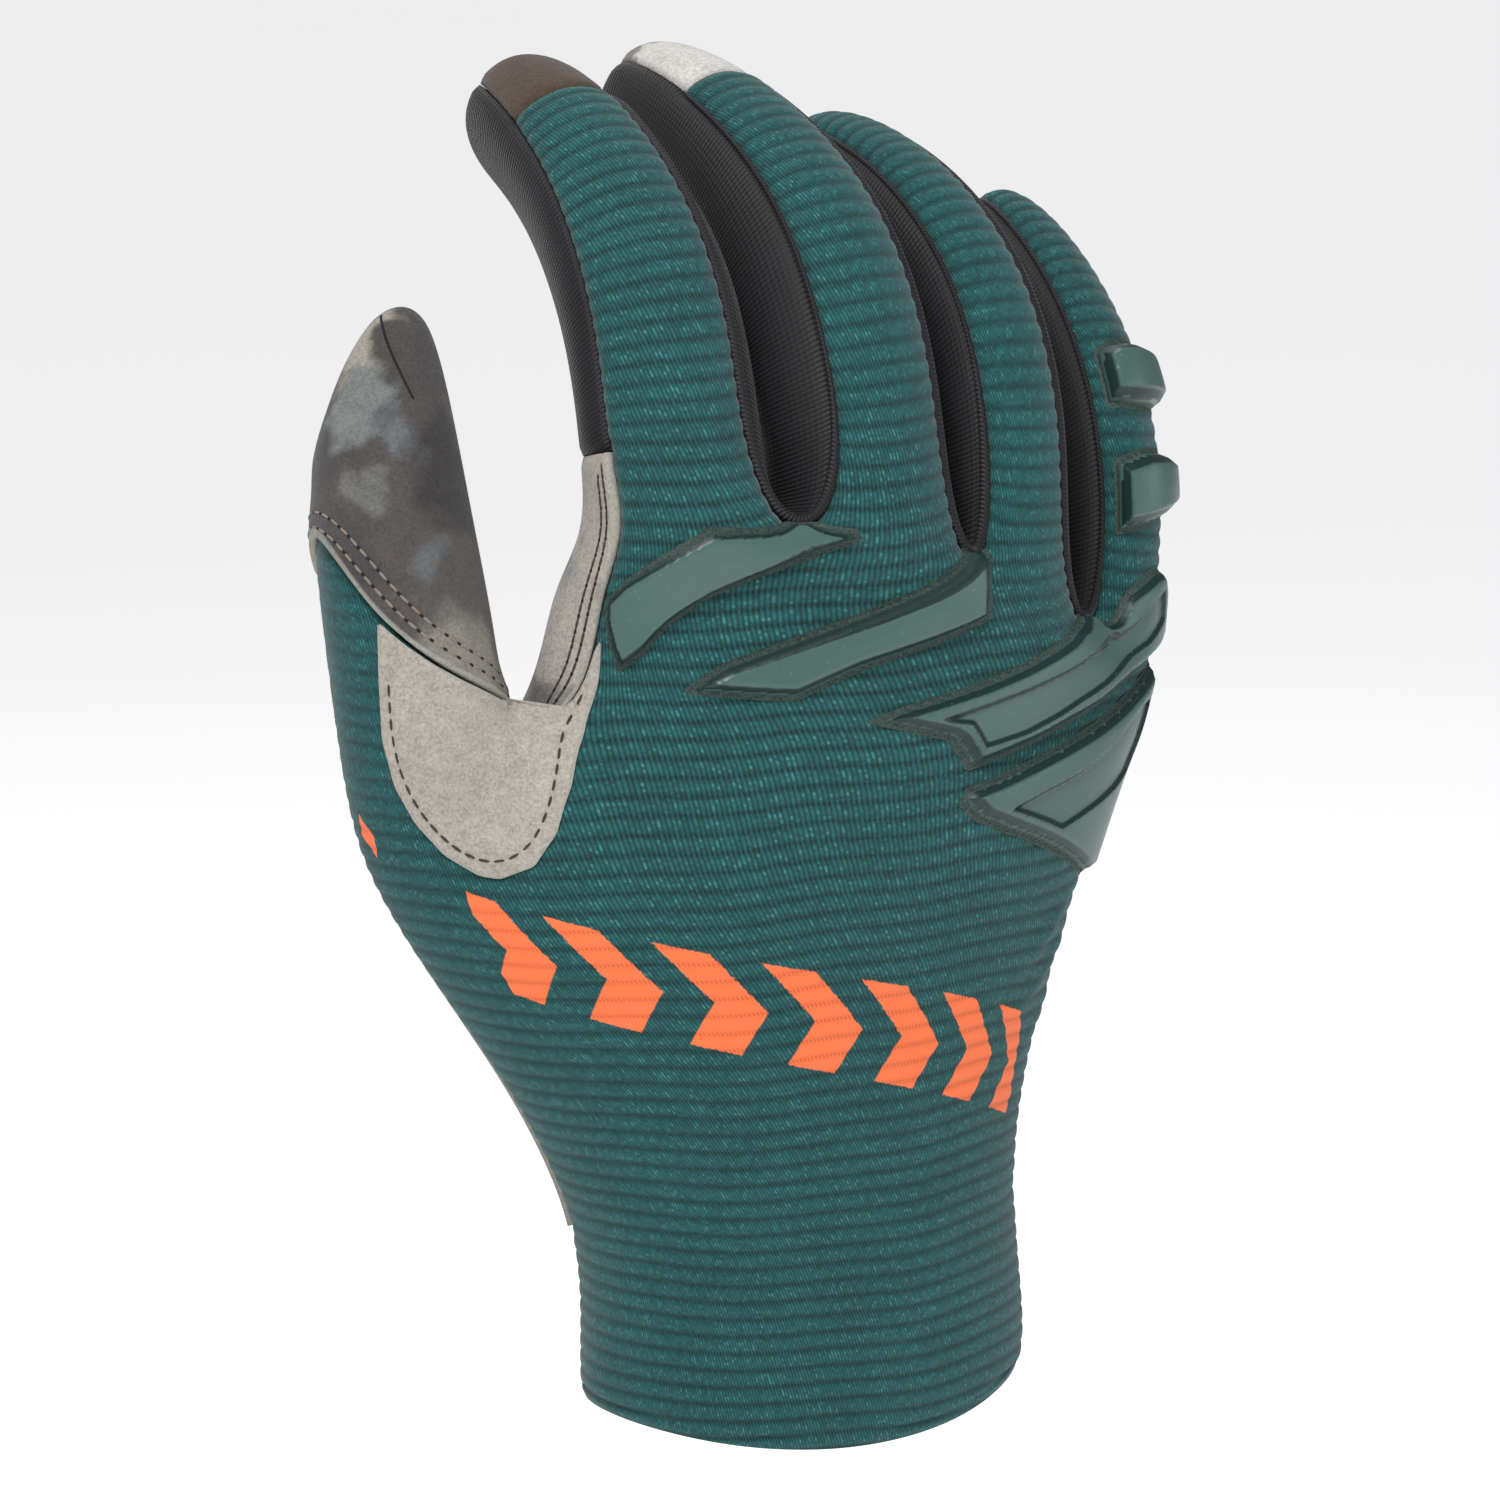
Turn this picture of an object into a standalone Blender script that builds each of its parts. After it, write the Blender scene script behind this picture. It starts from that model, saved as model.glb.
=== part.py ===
"""Right-hand motocross glove, filled as if worn, built from its sewn panels and moulded guards.

The whole skin is one coarse cage of quads with Subdivision Surface: a hand tube that splits at the
thumb web and again at the finger crotches.  Each sewn panel is cut from that skin as a cloth wall,
and each guard is a flat shape laid on the back panel through the panel's flat pattern.

Frame: +Z from the cuff to the fingertips, -Y out of the back of the hand, -X towards the thumb.
The origin is the centre of the cuff's opening.  Metres.
"""

import math
from collections import namedtuple

import bpy
import numpy as np
from mathutils import Vector
from mathutils.bvhtree import BVHTree
from mathutils.geometry import barycentric_transform, delaunay_2d_cdt

MM = 0.001

# Overall sizes of the filled glove
CUFF_DEPTH = 53.0 * MM
WEB_HEIGHT = 109.0 * MM
THENAR_WIDTH = 133.0 * MM
PALM_WIDTH = 98.0 * MM
PALM_DEPTH = 34.0 * MM
THUMB_LENGTH = 74.0 * MM
THUMB_WIDTH = 27.0 * MM
INDEX_LENGTH = 89.0 * MM
MIDDLE_LENGTH = 99.0 * MM
RING_LENGTH = 94.0 * MM
LITTLE_LENGTH = 81.0 * MM
FINGER_WIDTH = 27.4 * MM

# Cloth walls and the seams between them
KNIT_WALL = 1.2 * MM
SUEDE_WALL = 1.2 * MM
GUSSET_WALL = 1.0 * MM
SEAM_GAP = 0.6 * MM
CAD_LEVEL = 1

# A control ring is drawn this much larger, because subdivision pulls the skin inside it
FINGER_SWELL = 1.09
HAND_SWELL = 1.015

# The hand's ring has 24 columns from the thumb over the back, the little-finger side and the palm.
# Column names by index: the back's nine start at 2, the palm's nine at 12, the thumb's last at 21.
HAND_ANGLES = tuple(-75.0 + 15.0 * step for step in range(24))
PALM_ANGLES = (-66, -50, -30, -9, 12, 33, 51, 66, 80, 94, 109, 127, 146, 164, 182, 200, 219, 238, 256, 270)
THUMB_ANGLES = (-45, 0, 45, 90, 135, 180, 225, 270)
# How far each column of the thumb runs ahead of its section, against the radial side's lead
THUMB_LEADS = (-0.10, -0.62, -0.88, -1.00, -0.80, -0.30, 0.50, 1.05)
CUFF_BANDS = 3

# Rows of the hand below the thumb web.  rise is a share of WEB_HEIGHT; width and shift are shares of
# THENAR_WIDTH; depth and drop, how far the thumb side falls towards the palm, are shares of
# CUFF_DEPTH; lean is how much the row climbs towards the little finger; arch is how far both sides
# rise over the middle, and droop how far the little-finger side falls, in shares of WEB_HEIGHT.
HandRow = namedtuple("HandRow", "rise width depth shift drop lean arch droop")
HAND_ROWS = (
    HandRow(0.00, 0.556, 1.00, 0.004, 0.00, 0.030, 0.048, 0.00),
    HandRow(0.07, 0.560, 1.00, 0.004, 0.00, 0.020, 0.035, 0.00),
    HandRow(0.17, 0.552, 0.98, 0.002, 0.00, 0.000, 0.015, 0.00),
    HandRow(0.29, 0.554, 0.96, -0.007, 0.00, 0.000, 0.005, 0.00),
    HandRow(0.41, 0.594, 0.94, -0.022, 0.02, 0.000, 0.000, 0.00),
    HandRow(0.54, 0.676, 0.93, -0.037, 0.06, 0.000, 0.000, 0.00),
    HandRow(0.69, 0.796, 0.91, -0.058, 0.12, 0.000, 0.000, 0.02),
    HandRow(0.84, 0.907, 0.86, -0.073, 0.18, 0.000, 0.000, 0.05),
)

# Rows of the palm between the thumb web and the knuckles, in the same shares, with the width of
# PALM_WIDTH and the depth of PALM_DEPTH.
PalmRow = namedtuple("PalmRow", "rise width depth shift_x shift_y lean droop")
PALM_ROWS = (
    PalmRow(1.00, 1.03, 1.20, 0.075, 0.06, 0.00, 0.09),
    PalmRow(1.09, 1.07, 1.10, 0.085, 0.08, -0.06, 0.12),
    PalmRow(1.20, 1.07, 1.00, 0.110, 0.10, -0.08, 0.17),
)

# Fingers.  x and y place the base on the palm, as shares of PALM_WIDTH and PALM_DEPTH; rise is a share
# of WEB_HEIGHT; width is a share of FINGER_WIDTH.  seam_in and seam_out are where the back strip ends
# on the thumb side and the outer side, in degrees from the back of the hand; seam_tip is seam_in at
# the fingertip, so the seam twists round the finger.  The pitches are the lean
# towards the palm at the base, a quarter, a half and the tip; the swings are the sideways lean.
# bulge_in and bulge_out are how far the gussets on the thumb side and the outer side stand out, as
# shares of the half width; capped fingers have suede over the back of the tip.
Finger = namedtuple(
    "Finger", "name length x y rise width depth seam_in seam_tip seam_out pitch_base pitch_quarter pitch_half "
    "pitch_tip swing_base swing_tip bulge_in bulge_out capped"
)
FINGERS = (
    Finger(
        "index", INDEX_LENGTH, -0.225, 0.00, 1.32, 0.99, 1.01, -82, -56, 40, 10, 15, 43, 78, 1, -4,
        0.00, 0.30, True,
    ),
    Finger(
        "middle", MIDDLE_LENGTH, 0.100, -0.03, 1.275, 1.05, 1.06, -33, -33, 46, 11, 8, 50, 78, 2, -14,
        0.30, 0.00, True,
    ),
    Finger(
        "ring", RING_LENGTH, 0.350, 0.05, 1.175, 0.91, 0.98, -29, -29, 35, 6, 2, 43, 82, 6, -13,
        0.00, 0.00, False,
    ),
    Finger(
        "little", LITTLE_LENGTH, 0.598, 0.33, 1.075, 0.78, 0.86, -25, -25, 80, -1, 4, 32, 66, 8, -7,
        0.00, 0.00, False,
    ),
)
PITCH_SHARES = (0.0, 0.25, 0.5, 0.9)

# Sections along a finger above its base: how far along, how thick against its base, and the share of
# the gussets' bulge there
FingerSection = namedtuple("FingerSection", "along size bulge")
FINGER_SECTIONS = (
    FingerSection(0.13, 0.97, 0.25),
    FingerSection(0.29, 0.97, 0.90),
    FingerSection(0.45, 0.96, 1.00),
    FingerSection(0.62, 0.91, 0.50),
    FingerSection(0.79, 0.86, 0.10),
    FingerSection(0.92, 0.80, 0.00),
    FingerSection(0.985, 0.60, 0.00),
)
TIP_ALONG = 1.01
CAP_BANDS = 2
# The middles of a ring's two gussets, among its eight points
SIDE_OUT, SIDE_IN = 3, 7

# The palm's suede reaches one band up the index finger's thumb side, and its edge there stands at
# this angle round the finger's base
TAB_ANGLE = -60.0
# Where the palm strip's two edges stand round a finger
STRIP_OUT = 142.0
STRIP_IN = 218.0
PATH_STEPS = 200
PATH_END = 1.05

# Heights of the finger crotches on the back and the palm, as shares of WEB_HEIGHT
CROTCH_BACK = (1.300, 1.238, 1.103)
CROTCH_PALM = (1.330, 1.270, 1.140)
CROTCH_SINK = 0.05

# Thumb: where it leaves the hand, as shares of THENAR_WIDTH, CUFF_DEPTH and WEB_HEIGHT, and its lean
THUMB_X = -0.452
THUMB_Y = 0.18
THUMB_RISE = 0.985
THUMB_PITCH = (22.0, 16.0, 14.0)
THUMB_SWING = (1.0, 4.0, 12.0)
# Sections of the thumb: how far along, thickness, and how much the radial side runs ahead of the web
ThumbSection = namedtuple("ThumbSection", "along size slant")
THUMB_SECTIONS = (
    ThumbSection(0.35, 1.03, 0.30),
    ThumbSection(0.50, 1.00, 0.22),
    ThumbSection(0.64, 0.86, 0.14),
    ThumbSection(0.77, 0.70, 0.08),
    ThumbSection(0.88, 0.51, 0.03),
    ThumbSection(0.96, 0.29, 0.00),
)
THUMB_TIP_ALONG = 1.00
WEB_X = -0.352
WEB_Y_BACK = 0.00
WEB_Y_PALM = 0.30
WEB_BACK_RISE = 1.07
WEB_SINK = 0.00

BACK, PALM, THUMB, GUSSET = 0, 1, 2, 3
PANEL_NAMES = (
    "back_panel", "palm_panel", "thumb_sleeve", "gusset_index_radial", "gusset_index_middle",
    "gusset_middle_ring", "gusset_ring_little",
)
PANEL_WALLS = (KNIT_WALL, SUEDE_WALL, SUEDE_WALL, GUSSET_WALL, GUSSET_WALL, GUSSET_WALL, GUSSET_WALL)


# Guards and the patch, as outlines on the back panel's flat pattern: across from the middle finger's
# centre towards the little finger, and up from the cuff.  They are drawn in millimetres for a palm
# and a web of these sizes, and stretch with the glove's own.
DRAWN_PALM_WIDTH = 98.0
DRAWN_WEB_HEIGHT = 109.0
KNUCKLE_PAD_INDEX = (
    (-48.2, 134.2), (-45.2, 137.6), (-41.0, 140.6), (-37.2, 143.2), (-34.0, 145.2), (-30.0, 144.6),
    (-25.8, 143.6), (-18.6, 143.0), (-17.2, 141.4), (-21.8, 139.0), (-27.2, 136.4), (-30.3, 134.7),
    (-32.8, 132.5), (-35.6, 130.0), (-38.4, 126.2), (-42.6, 122.8), (-45.3, 126.5), (-47.4, 130.6),
)
KNUCKLE_PAD_MIDDLE = (
    (-33.0, 120.2), (-27.8, 124.0), (-23.1, 125.9), (-18.7, 127.7), (-14.6, 129.5), (-10.6, 131.3),
    (-6.7, 133.3), (-3.2, 135.2), (0.8, 137.4), (3.2, 135.5), (4.0, 127.0), (1.2, 125.6), (-2.4, 124.2),
    (-6.9, 122.7), (-11.4, 121.2), (-14.7, 119.6), (-18.7, 117.6), (-22.8, 118.2), (-31.5, 119.6),
)
ULNAR_GUARD_UPPER = (
    (-11.0, 113.6), (-6.6, 115.3), (-1.9, 116.4), (3.1, 117.6), (8.5, 119.3), (14.3, 121.6),
    (19.7, 123.4), (23.5, 123.0), (28.0, 121.8), (29.4, 125.6), (31.5, 127.0), (36.5, 129.3),
    (41.0, 129.8), (44.0, 126.0), (45.5, 118.0), (42.0, 115.6), (35.2, 113.2), (28.2, 111.6),
    (22.9, 109.9), (16.6, 108.2), (11.9, 106.6), (7.7, 105.4), (3.3, 104.2), (-0.4, 109.3), (-6.5, 111.8),
)
ULNAR_GUARD_LOWER = (
    (4.2, 101.8), (8.4, 102.9), (14.1, 104.9), (19.2, 106.5), (26.1, 108.4), (34.0, 110.8),
    (41.0, 112.8), (46.5, 114.6), (49.0, 109.0), (48.8, 102.0), (49.2, 95.0), (49.2, 88.0), (48.0, 82.4),
    (40.0, 84.2), (30.3, 87.6), (15.1, 93.2), (7.6, 96.4), (4.0, 99.4),
)
LITTLE_BLOCK_DISTAL = (
    (27.0, 151.9), (34.0, 151.4), (45.5, 151.8), (47.0, 156.5), (45.5, 161.8), (38.0, 161.8),
    (31.0, 161.4), (27.2, 160.2),
)
LITTLE_BLOCK_PROXIMAL = (
    (26.6, 134.2), (31.0, 134.9), (38.0, 136.0), (45.6, 137.2), (47.0, 141.5), (45.6, 146.6),
    (40.0, 146.6), (33.5, 146.4), (26.8, 144.9),
)
THUMB_CROTCH_PATCH = (
    (-73.4, 126.5), (-74.6, 121.0), (-75.2, 114.1), (-73.6, 107.3), (-70.0, 101.8), (-64.6, 96.7),
    (-58.8, 93.6), (-55.5, 93.1), (-49.9, 94.9), (-46.6, 99.6), (-44.9, 106.9), (-44.6, 114.3),
    (-45.8, 121.0), (-47.6, 127.0), (-48.3, 122.0), (-48.2, 115.0), (-52.0, 114.4), (-57.0, 115.2),
    (-62.0, 117.4), (-66.5, 120.4), (-70.5, 124.0),
)
PAD_GAP = 0.5 * MM
PATCH_GAP = 0.8 * MM
# gap is the clearance over the knit; chamfer and drop are how far the bevel runs in and down
LaidPiece = namedtuple("LaidPiece", "name outline gap thickness chamfer drop")
LAID_PIECES = (
    LaidPiece("thumb_crotch_patch", THUMB_CROTCH_PATCH, PATCH_GAP, 1.3 * MM, 0.20 * MM, 0.20 * MM),
    LaidPiece("knuckle_pad_index", KNUCKLE_PAD_INDEX, PAD_GAP, 2.6 * MM, 1.10 * MM, 1.40 * MM),
    LaidPiece("knuckle_pad_middle", KNUCKLE_PAD_MIDDLE, PAD_GAP, 2.8 * MM, 1.60 * MM, 2.00 * MM),
    LaidPiece("ulnar_guard_upper", ULNAR_GUARD_UPPER, PAD_GAP, 2.6 * MM, 1.30 * MM, 1.60 * MM),
    LaidPiece("ulnar_guard_lower", ULNAR_GUARD_LOWER, PAD_GAP, 2.6 * MM, 1.30 * MM, 1.60 * MM),
    LaidPiece("little_block_distal", LITTLE_BLOCK_DISTAL, PAD_GAP, 3.6 * MM, 2.00 * MM, 2.60 * MM),
    LaidPiece("little_block_proximal", LITTLE_BLOCK_PROXIMAL, PAD_GAP, 3.8 * MM, 2.20 * MM, 2.80 * MM),
)
LAID_STEP = 4.0 * MM


# One column of the flat pattern
COLUMN = PALM_WIDTH / 8


def ellipse(angles_deg, half_width, half_depth):
    """Points round an ellipse; 0 degrees is the back of the hand and 90 the little-finger side."""
    angle = np.radians(np.asarray(angles_deg, float))
    return np.stack([half_width * np.sin(angle), -half_depth * np.cos(angle)], axis=1)


def hand_ring(row):
    """One row of the hand below the web: an ellipse whose thumb side drops towards the palm."""
    half_width = row.width * THENAR_WIDTH / 2
    flat = ellipse(HAND_ANGLES, half_width * HAND_SWELL, row.depth * CUFF_DEPTH / 2 * HAND_SWELL)
    thumb_side = np.clip(-flat[:, 0] / half_width, 0, 1) ** 2
    x = flat[:, 0] + row.shift * THENAR_WIDTH
    y = flat[:, 1] + thumb_side * row.drop * CUFF_DEPTH
    across = flat[:, 0] / half_width
    lift = row.arch * across ** 2 - row.droop * np.clip(across, 0, 1) ** 2
    z = (row.rise + lift) * WEB_HEIGHT + row.lean * flat[:, 0]
    return np.stack([x, y, z], axis=1)


def palm_ring(row):
    """One row of the palm above the web: a plain ellipse of 20 points."""
    flat = ellipse(PALM_ANGLES, row.width * PALM_WIDTH / 2, row.depth * PALM_DEPTH / 2)
    x = flat[:, 0] + row.shift_x * PALM_WIDTH
    y = flat[:, 1] + row.shift_y * PALM_DEPTH
    fall = row.droop * np.clip(2 * flat[:, 0] / (row.width * PALM_WIDTH), 0, 1) ** 2
    z = (row.rise - fall) * WEB_HEIGHT + row.lean * flat[:, 0]
    return np.stack([x, y, z], axis=1)


def path_of(start, length, shares, pitches, swings):
    """Centreline and headings of a finger: a line of that length whose lean follows the tables."""
    along = np.linspace(0, PATH_END, PATH_STEPS)
    pitch = np.radians(np.interp(along, shares, pitches))
    swing = np.radians(np.interp(along, np.linspace(0, 1, len(swings)), swings))
    heading = np.stack([np.tan(swing), np.sin(pitch), np.cos(pitch)], axis=1)
    heading /= np.linalg.norm(heading, axis=1, keepdims=True)
    middle = (heading[1:] + heading[:-1]) / 2
    run = np.vstack([np.zeros(3), np.cumsum(middle * length * np.diff(along)[:, None], axis=0)])
    return along, np.asarray(start) + run, heading


def at(share, along, values):
    """The path's point or heading at a share of its length."""
    return np.array([np.interp(share, along, values[:, axis]) for axis in range(3)])


def tube_ring(centre, heading, angles_deg, half_width, half_depth):
    """A ring round a finger, square to its heading."""
    heading = heading / np.linalg.norm(heading)
    side = np.array([1.0, 0.0, 0.0]) - heading * heading[0]
    side /= np.linalg.norm(side)
    back = np.cross(side, heading)
    angle = np.radians(np.asarray(angles_deg, float))[:, None]
    return centre + half_width * np.sin(angle) * side + half_depth * np.cos(angle) * back


def finger_angles(finger, along):
    """Control points round a finger: back strip, outer side, palm strip, inner side."""
    seam_in = finger.seam_in + (finger.seam_tip - finger.seam_in) * along
    middle = (seam_in + finger.seam_out) / 2
    side_out = (finger.seam_out + STRIP_OUT) / 2
    side_in = (seam_in + 360.0 + STRIP_IN) / 2
    return [seam_in, middle, finger.seam_out, side_out, STRIP_OUT, 180.0, STRIP_IN, side_in]


def finger_rings(finger):
    """The rings of one finger: its base, then its sections; and the point at its end."""
    start = (finger.x * PALM_WIDTH, finger.y * PALM_DEPTH, finger.rise * WEB_HEIGHT)
    pitches = (finger.pitch_base, finger.pitch_quarter, finger.pitch_half, finger.pitch_tip)
    along, points, headings = path_of(
        start, finger.length, PITCH_SHARES, pitches, (finger.swing_base, finger.swing_tip)
    )
    half_width = finger.width * FINGER_WIDTH / 2 * FINGER_SWELL
    half_depth = finger.depth * FINGER_WIDTH / 2 * FINGER_SWELL
    rings = []
    for section in (FingerSection(0.0, 1.0, 0.0),) + FINGER_SECTIONS:
        bulge = np.ones((8, 1))
        bulge[SIDE_OUT] += finger.bulge_out * section.bulge
        bulge[SIDE_IN] += finger.bulge_in * section.bulge
        rings.append(tube_ring(
            at(section.along, along, points), at(section.along, along, headings),
            finger_angles(finger, section.along), half_width * section.size * bulge,
            half_depth * section.size,
        ))
    return rings, at(TIP_ALONG, along, points)


def thumb_rings():
    """The thumb's rings above the web.  Each slants, so that its first one follows the sewn edge."""
    start = (THUMB_X * THENAR_WIDTH, THUMB_Y * CUFF_DEPTH, THUMB_RISE * WEB_HEIGHT)
    along, points, headings = path_of(start, THUMB_LENGTH, (0.0, 0.5, 1.0), THUMB_PITCH, THUMB_SWING)
    half = THUMB_WIDTH / 2 * FINGER_SWELL
    base = tube_ring(points[0], headings[0], THUMB_ANGLES, half, half)
    lead = np.array(THUMB_LEADS)
    rings = []
    for section in THUMB_SECTIONS:
        heading = at(section.along, along, headings)
        size = half * section.size
        ring = tube_ring(at(section.along, along, points), heading, THUMB_ANGLES, size, size)
        ring += lead[:, None] * section.slant * THUMB_LENGTH * heading
        rings.append(ring)
    return base, rings, at(THUMB_TIP_ALONG, along, points)


class Cage:
    """Control points and quads of the skin, with each quad's panel and flat-pattern corners."""

    def __init__(self):
        self.points = []
        self.quads = []
        self.panels = []
        self.corners = []

    def add(self, points):
        first = len(self.points)
        self.points.extend(np.asarray(points, float))
        return list(range(first, len(self.points)))

    def band(self, low, high, panels, across, v_low, v_high):
        """Quads between two closed rings of equal count; across is each column's pattern place."""
        count = len(low)
        for k in range(count):
            n = (k + 1) % count
            start, end = across[k]
            self.quads.append([low[k], low[n], high[n], high[k]])
            self.panels.append(panels[k])
            self.corners.append([
                (start * COLUMN, v_low[k]), (end * COLUMN, v_low[n]), (end * COLUMN, v_high[n]),
                (start * COLUMN, v_high[k]),
            ])

    def cap(self, ring, tip, panels, across, v_ring, v_tip):
        """Four quads that close a ring of eight round one point, each with its first column's panel."""
        for k in (0, 2, 4, 6):
            ids = [ring[k], ring[k + 1], ring[(k + 2) % 8], tip]
            start, middle, end = across[k][0], across[k][1], across[k + 1][1]
            self.quads.append(ids)
            self.panels.append(panels[k])
            self.corners.append([
                (start * COLUMN, v_ring[k]), (middle * COLUMN, v_ring[k + 1]),
                (end * COLUMN, v_ring[(k + 2) % 8]), (middle * COLUMN, v_tip),
            ])


def build_cage():
    """The whole glove as a coarse cage: hand rows, web, knuckles, crotches, fingers and thumb."""
    cage = Cage()

    # Hand tube below the web: 24 columns, cut in the flat pattern under the thumb
    hand_across = [(k - 6, k - 5) if k < 22 else (k - 30, k - 29) for k in range(24)]
    above_cuff = [PALM if 12 <= k <= 21 else BACK for k in range(24)]
    thumb_base, thumb_above, thumb_tip = thumb_rings()
    palm_rows = [palm_ring(row) for row in PALM_ROWS]
    web_x = WEB_X * THENAR_WIDTH
    web_back = (web_x, WEB_Y_BACK * CUFF_DEPTH, WEB_BACK_RISE * WEB_HEIGHT)
    web_palm = (web_x, WEB_Y_PALM * CUFF_DEPTH, WEB_HEIGHT)
    web_mid = (web_x, (WEB_Y_BACK + WEB_Y_PALM) / 2 * CUFF_DEPTH, (1 - WEB_SINK) * WEB_HEIGHT)
    web_ring = np.vstack([
        thumb_base[0:2], [web_back], palm_rows[0][1:18], [web_palm], thumb_base[5:8]
    ])
    rings = [hand_ring(row) for row in HAND_ROWS] + [web_ring]
    rows = [cage.add(ring) for ring in rings]
    for index in range(len(rows) - 1):
        panels = [BACK] * 24 if index < CUFF_BANDS else above_cuff
        cage.band(rows[index], rows[index + 1], panels, hand_across, rings[index][:, 2], rings[index + 1][:, 2])
    web_row = rows[-1]
    web_middle = cage.add([web_mid])[0]

    # Thumb tube: eight columns; its first band is knit outside and palm suede inside
    thumb_across = [(-6, -5), (-5, -4), (-4, -3), (-3, -2), (14, 15), (15, 16), (-8, -7), (-7, -6)]
    first_panels = [BACK, BACK, THUMB, THUMB, PALM, PALM, BACK, BACK]
    low = [web_row[0], web_row[1], web_row[2], web_middle, web_row[20], web_row[21], web_row[22], web_row[23]]
    v_low = np.array([cage.points[i][2] for i in low])
    for index, ring in enumerate(thumb_above):
        high = cage.add(ring)
        panels = first_panels if index == 0 else [THUMB] * 8
        cage.band(low, high, panels, thumb_across, v_low, ring[:, 2])
        low, v_low = high, ring[:, 2]
    tip = cage.add([thumb_tip])[0]
    cage.cap(low, tip, [THUMB] * 8, thumb_across, v_low, thumb_tip[2])

    # Palm tube between the web and the knuckles: 20 columns
    tube_across = [(k - 4, k - 3) for k in range(20)]
    tube_panels = [BACK] * 10 + [PALM] * 10
    fingers = [finger_rings(finger) for finger in FINGERS]
    knuckles = np.zeros((20, 3))
    middles = []
    for f, (found, _) in enumerate(fingers):
        base = found[0]
        knuckles[2 * f + 1] = base[1]
        knuckles[17 - 2 * f] = base[5]
    tab = finger_rings(FINGERS[0]._replace(seam_in=TAB_ANGLE))[0][0]
    knuckles[0] = tab[0]
    knuckles[18] = fingers[0][0][0][6]
    knuckles[19] = fingers[0][0][0][7]
    knuckles[8] = fingers[3][0][0][2]
    knuckles[9] = fingers[3][0][0][3]
    knuckles[10] = fingers[3][0][0][4]
    for f in range(3):
        inner, outer = fingers[f][0][0], fingers[f + 1][0][0]
        back = (inner[2] + outer[0]) / 2
        palm = (inner[4] + outer[6]) / 2
        back[2] = CROTCH_BACK[f] * WEB_HEIGHT
        palm[2] = CROTCH_PALM[f] * WEB_HEIGHT
        knuckles[2 * f + 2] = back
        knuckles[16 - 2 * f] = palm
        middle = (back + palm) / 2
        middle[2] -= CROTCH_SINK * WEB_HEIGHT
        middles.append(middle)
    low = [web_row[k] for k in range(2, 21)] + [web_middle]
    v_low = np.array([cage.points[i][2] for i in low])
    for ring in palm_rows[1:] + [knuckles]:
        high = cage.add(ring)
        cage.band(low, high, tube_panels, tube_across, v_low, ring[:, 2])
        low, v_low = high, ring[:, 2]
    middle_ids = cage.add(middles)

    # Fingers: eight columns each, sharing the crotch points with their neighbours
    for f, (found, end) in enumerate(fingers):
        outer_id = middle_ids[f] if f < 3 else low[9]
        inner_id = middle_ids[f - 1] if f > 0 else low[19]
        ring_ids = [
            low[2 * f], low[2 * f + 1], low[2 * f + 2], outer_id, low[16 - 2 * f], low[17 - 2 * f],
            low[18 - 2 * f], inner_id,
        ]
        length = FINGERS[f].length
        base_v = FINGERS[f].rise * WEB_HEIGHT
        back_u, palm_u = 2 * f - 4, 12 - 2 * f
        if f < 3:
            outer = [(0, 1), (1, 2)]
            outer_panel = GUSSET + f + 1
        else:
            outer = [(4, 5), (5, 6)]
            outer_panel = BACK
        panels = [BACK, BACK, outer_panel, outer_panel, PALM, PALM, GUSSET + f, GUSSET + f]
        across = [(back_u, back_u + 1), (back_u + 1, back_u + 2)] + outer
        across += [(palm_u, palm_u + 1), (palm_u + 1, palm_u + 2), (2, 1), (1, 0)]
        capped = FINGERS[f].capped
        cap_panels = ([PALM, PALM] if capped else [BACK, BACK]) + panels[2:]
        cap_across = ([(palm_u + 4, palm_u + 5), (palm_u + 5, palm_u + 6)] if capped else across[:2]) + across[2:]
        tip_panels = cap_panels[:2] + ([PALM, PALM] if capped else panels[2:4]) + panels[4:]
        v_here = np.array([cage.points[i][2] for i in ring_ids])
        bands = len(FINGER_SECTIONS)
        for index, section in enumerate(FINGER_SECTIONS):
            high = cage.add(found[index + 1])
            v_next = np.full(8, base_v + section.along * length)
            here, places = panels, across
            if index >= bands - CAP_BANDS:
                here, places = cap_panels, cap_across
            elif f == 0 and index == 0:
                here = panels[:6] + [PALM, PALM]
                places = across[:6] + [(palm_u + 2, palm_u + 3), (palm_u + 3, palm_u + 4)]
            cage.band(ring_ids, high, here, places, v_here, v_next)
            ring_ids, v_here = high, v_next
        tip = cage.add([end])[0]
        cage.cap(ring_ids, tip, tip_panels, cap_across, v_here, base_v + TIP_ALONG * length)
    return cage


def cage_object(name, cage, level, collection):
    """The cage as a mesh with Subdivision Surface; a face's material index is its panel."""
    mesh = bpy.data.meshes.new(name)
    mesh.from_pydata([tuple(p) for p in cage.points], [], cage.quads)
    layer = mesh.uv_layers.new(name="pattern")
    flat = np.array([corner for quad in cage.corners for corner in quad])
    layer.data.foreach_set("uv", flat.ravel())
    mesh.polygons.foreach_set("material_index", cage.panels)
    found = bpy.data.objects.new(name, mesh)
    for panel in PANEL_NAMES:
        mesh.materials.append(bpy.data.materials.get(panel))
    collection.objects.link(found)
    found.hide_render = True
    found.display_type = "WIRE"
    modifier = found.modifiers.new("Subdivision", "SUBSURF")
    modifier.levels = level
    modifier.render_levels = level
    return found


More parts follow.
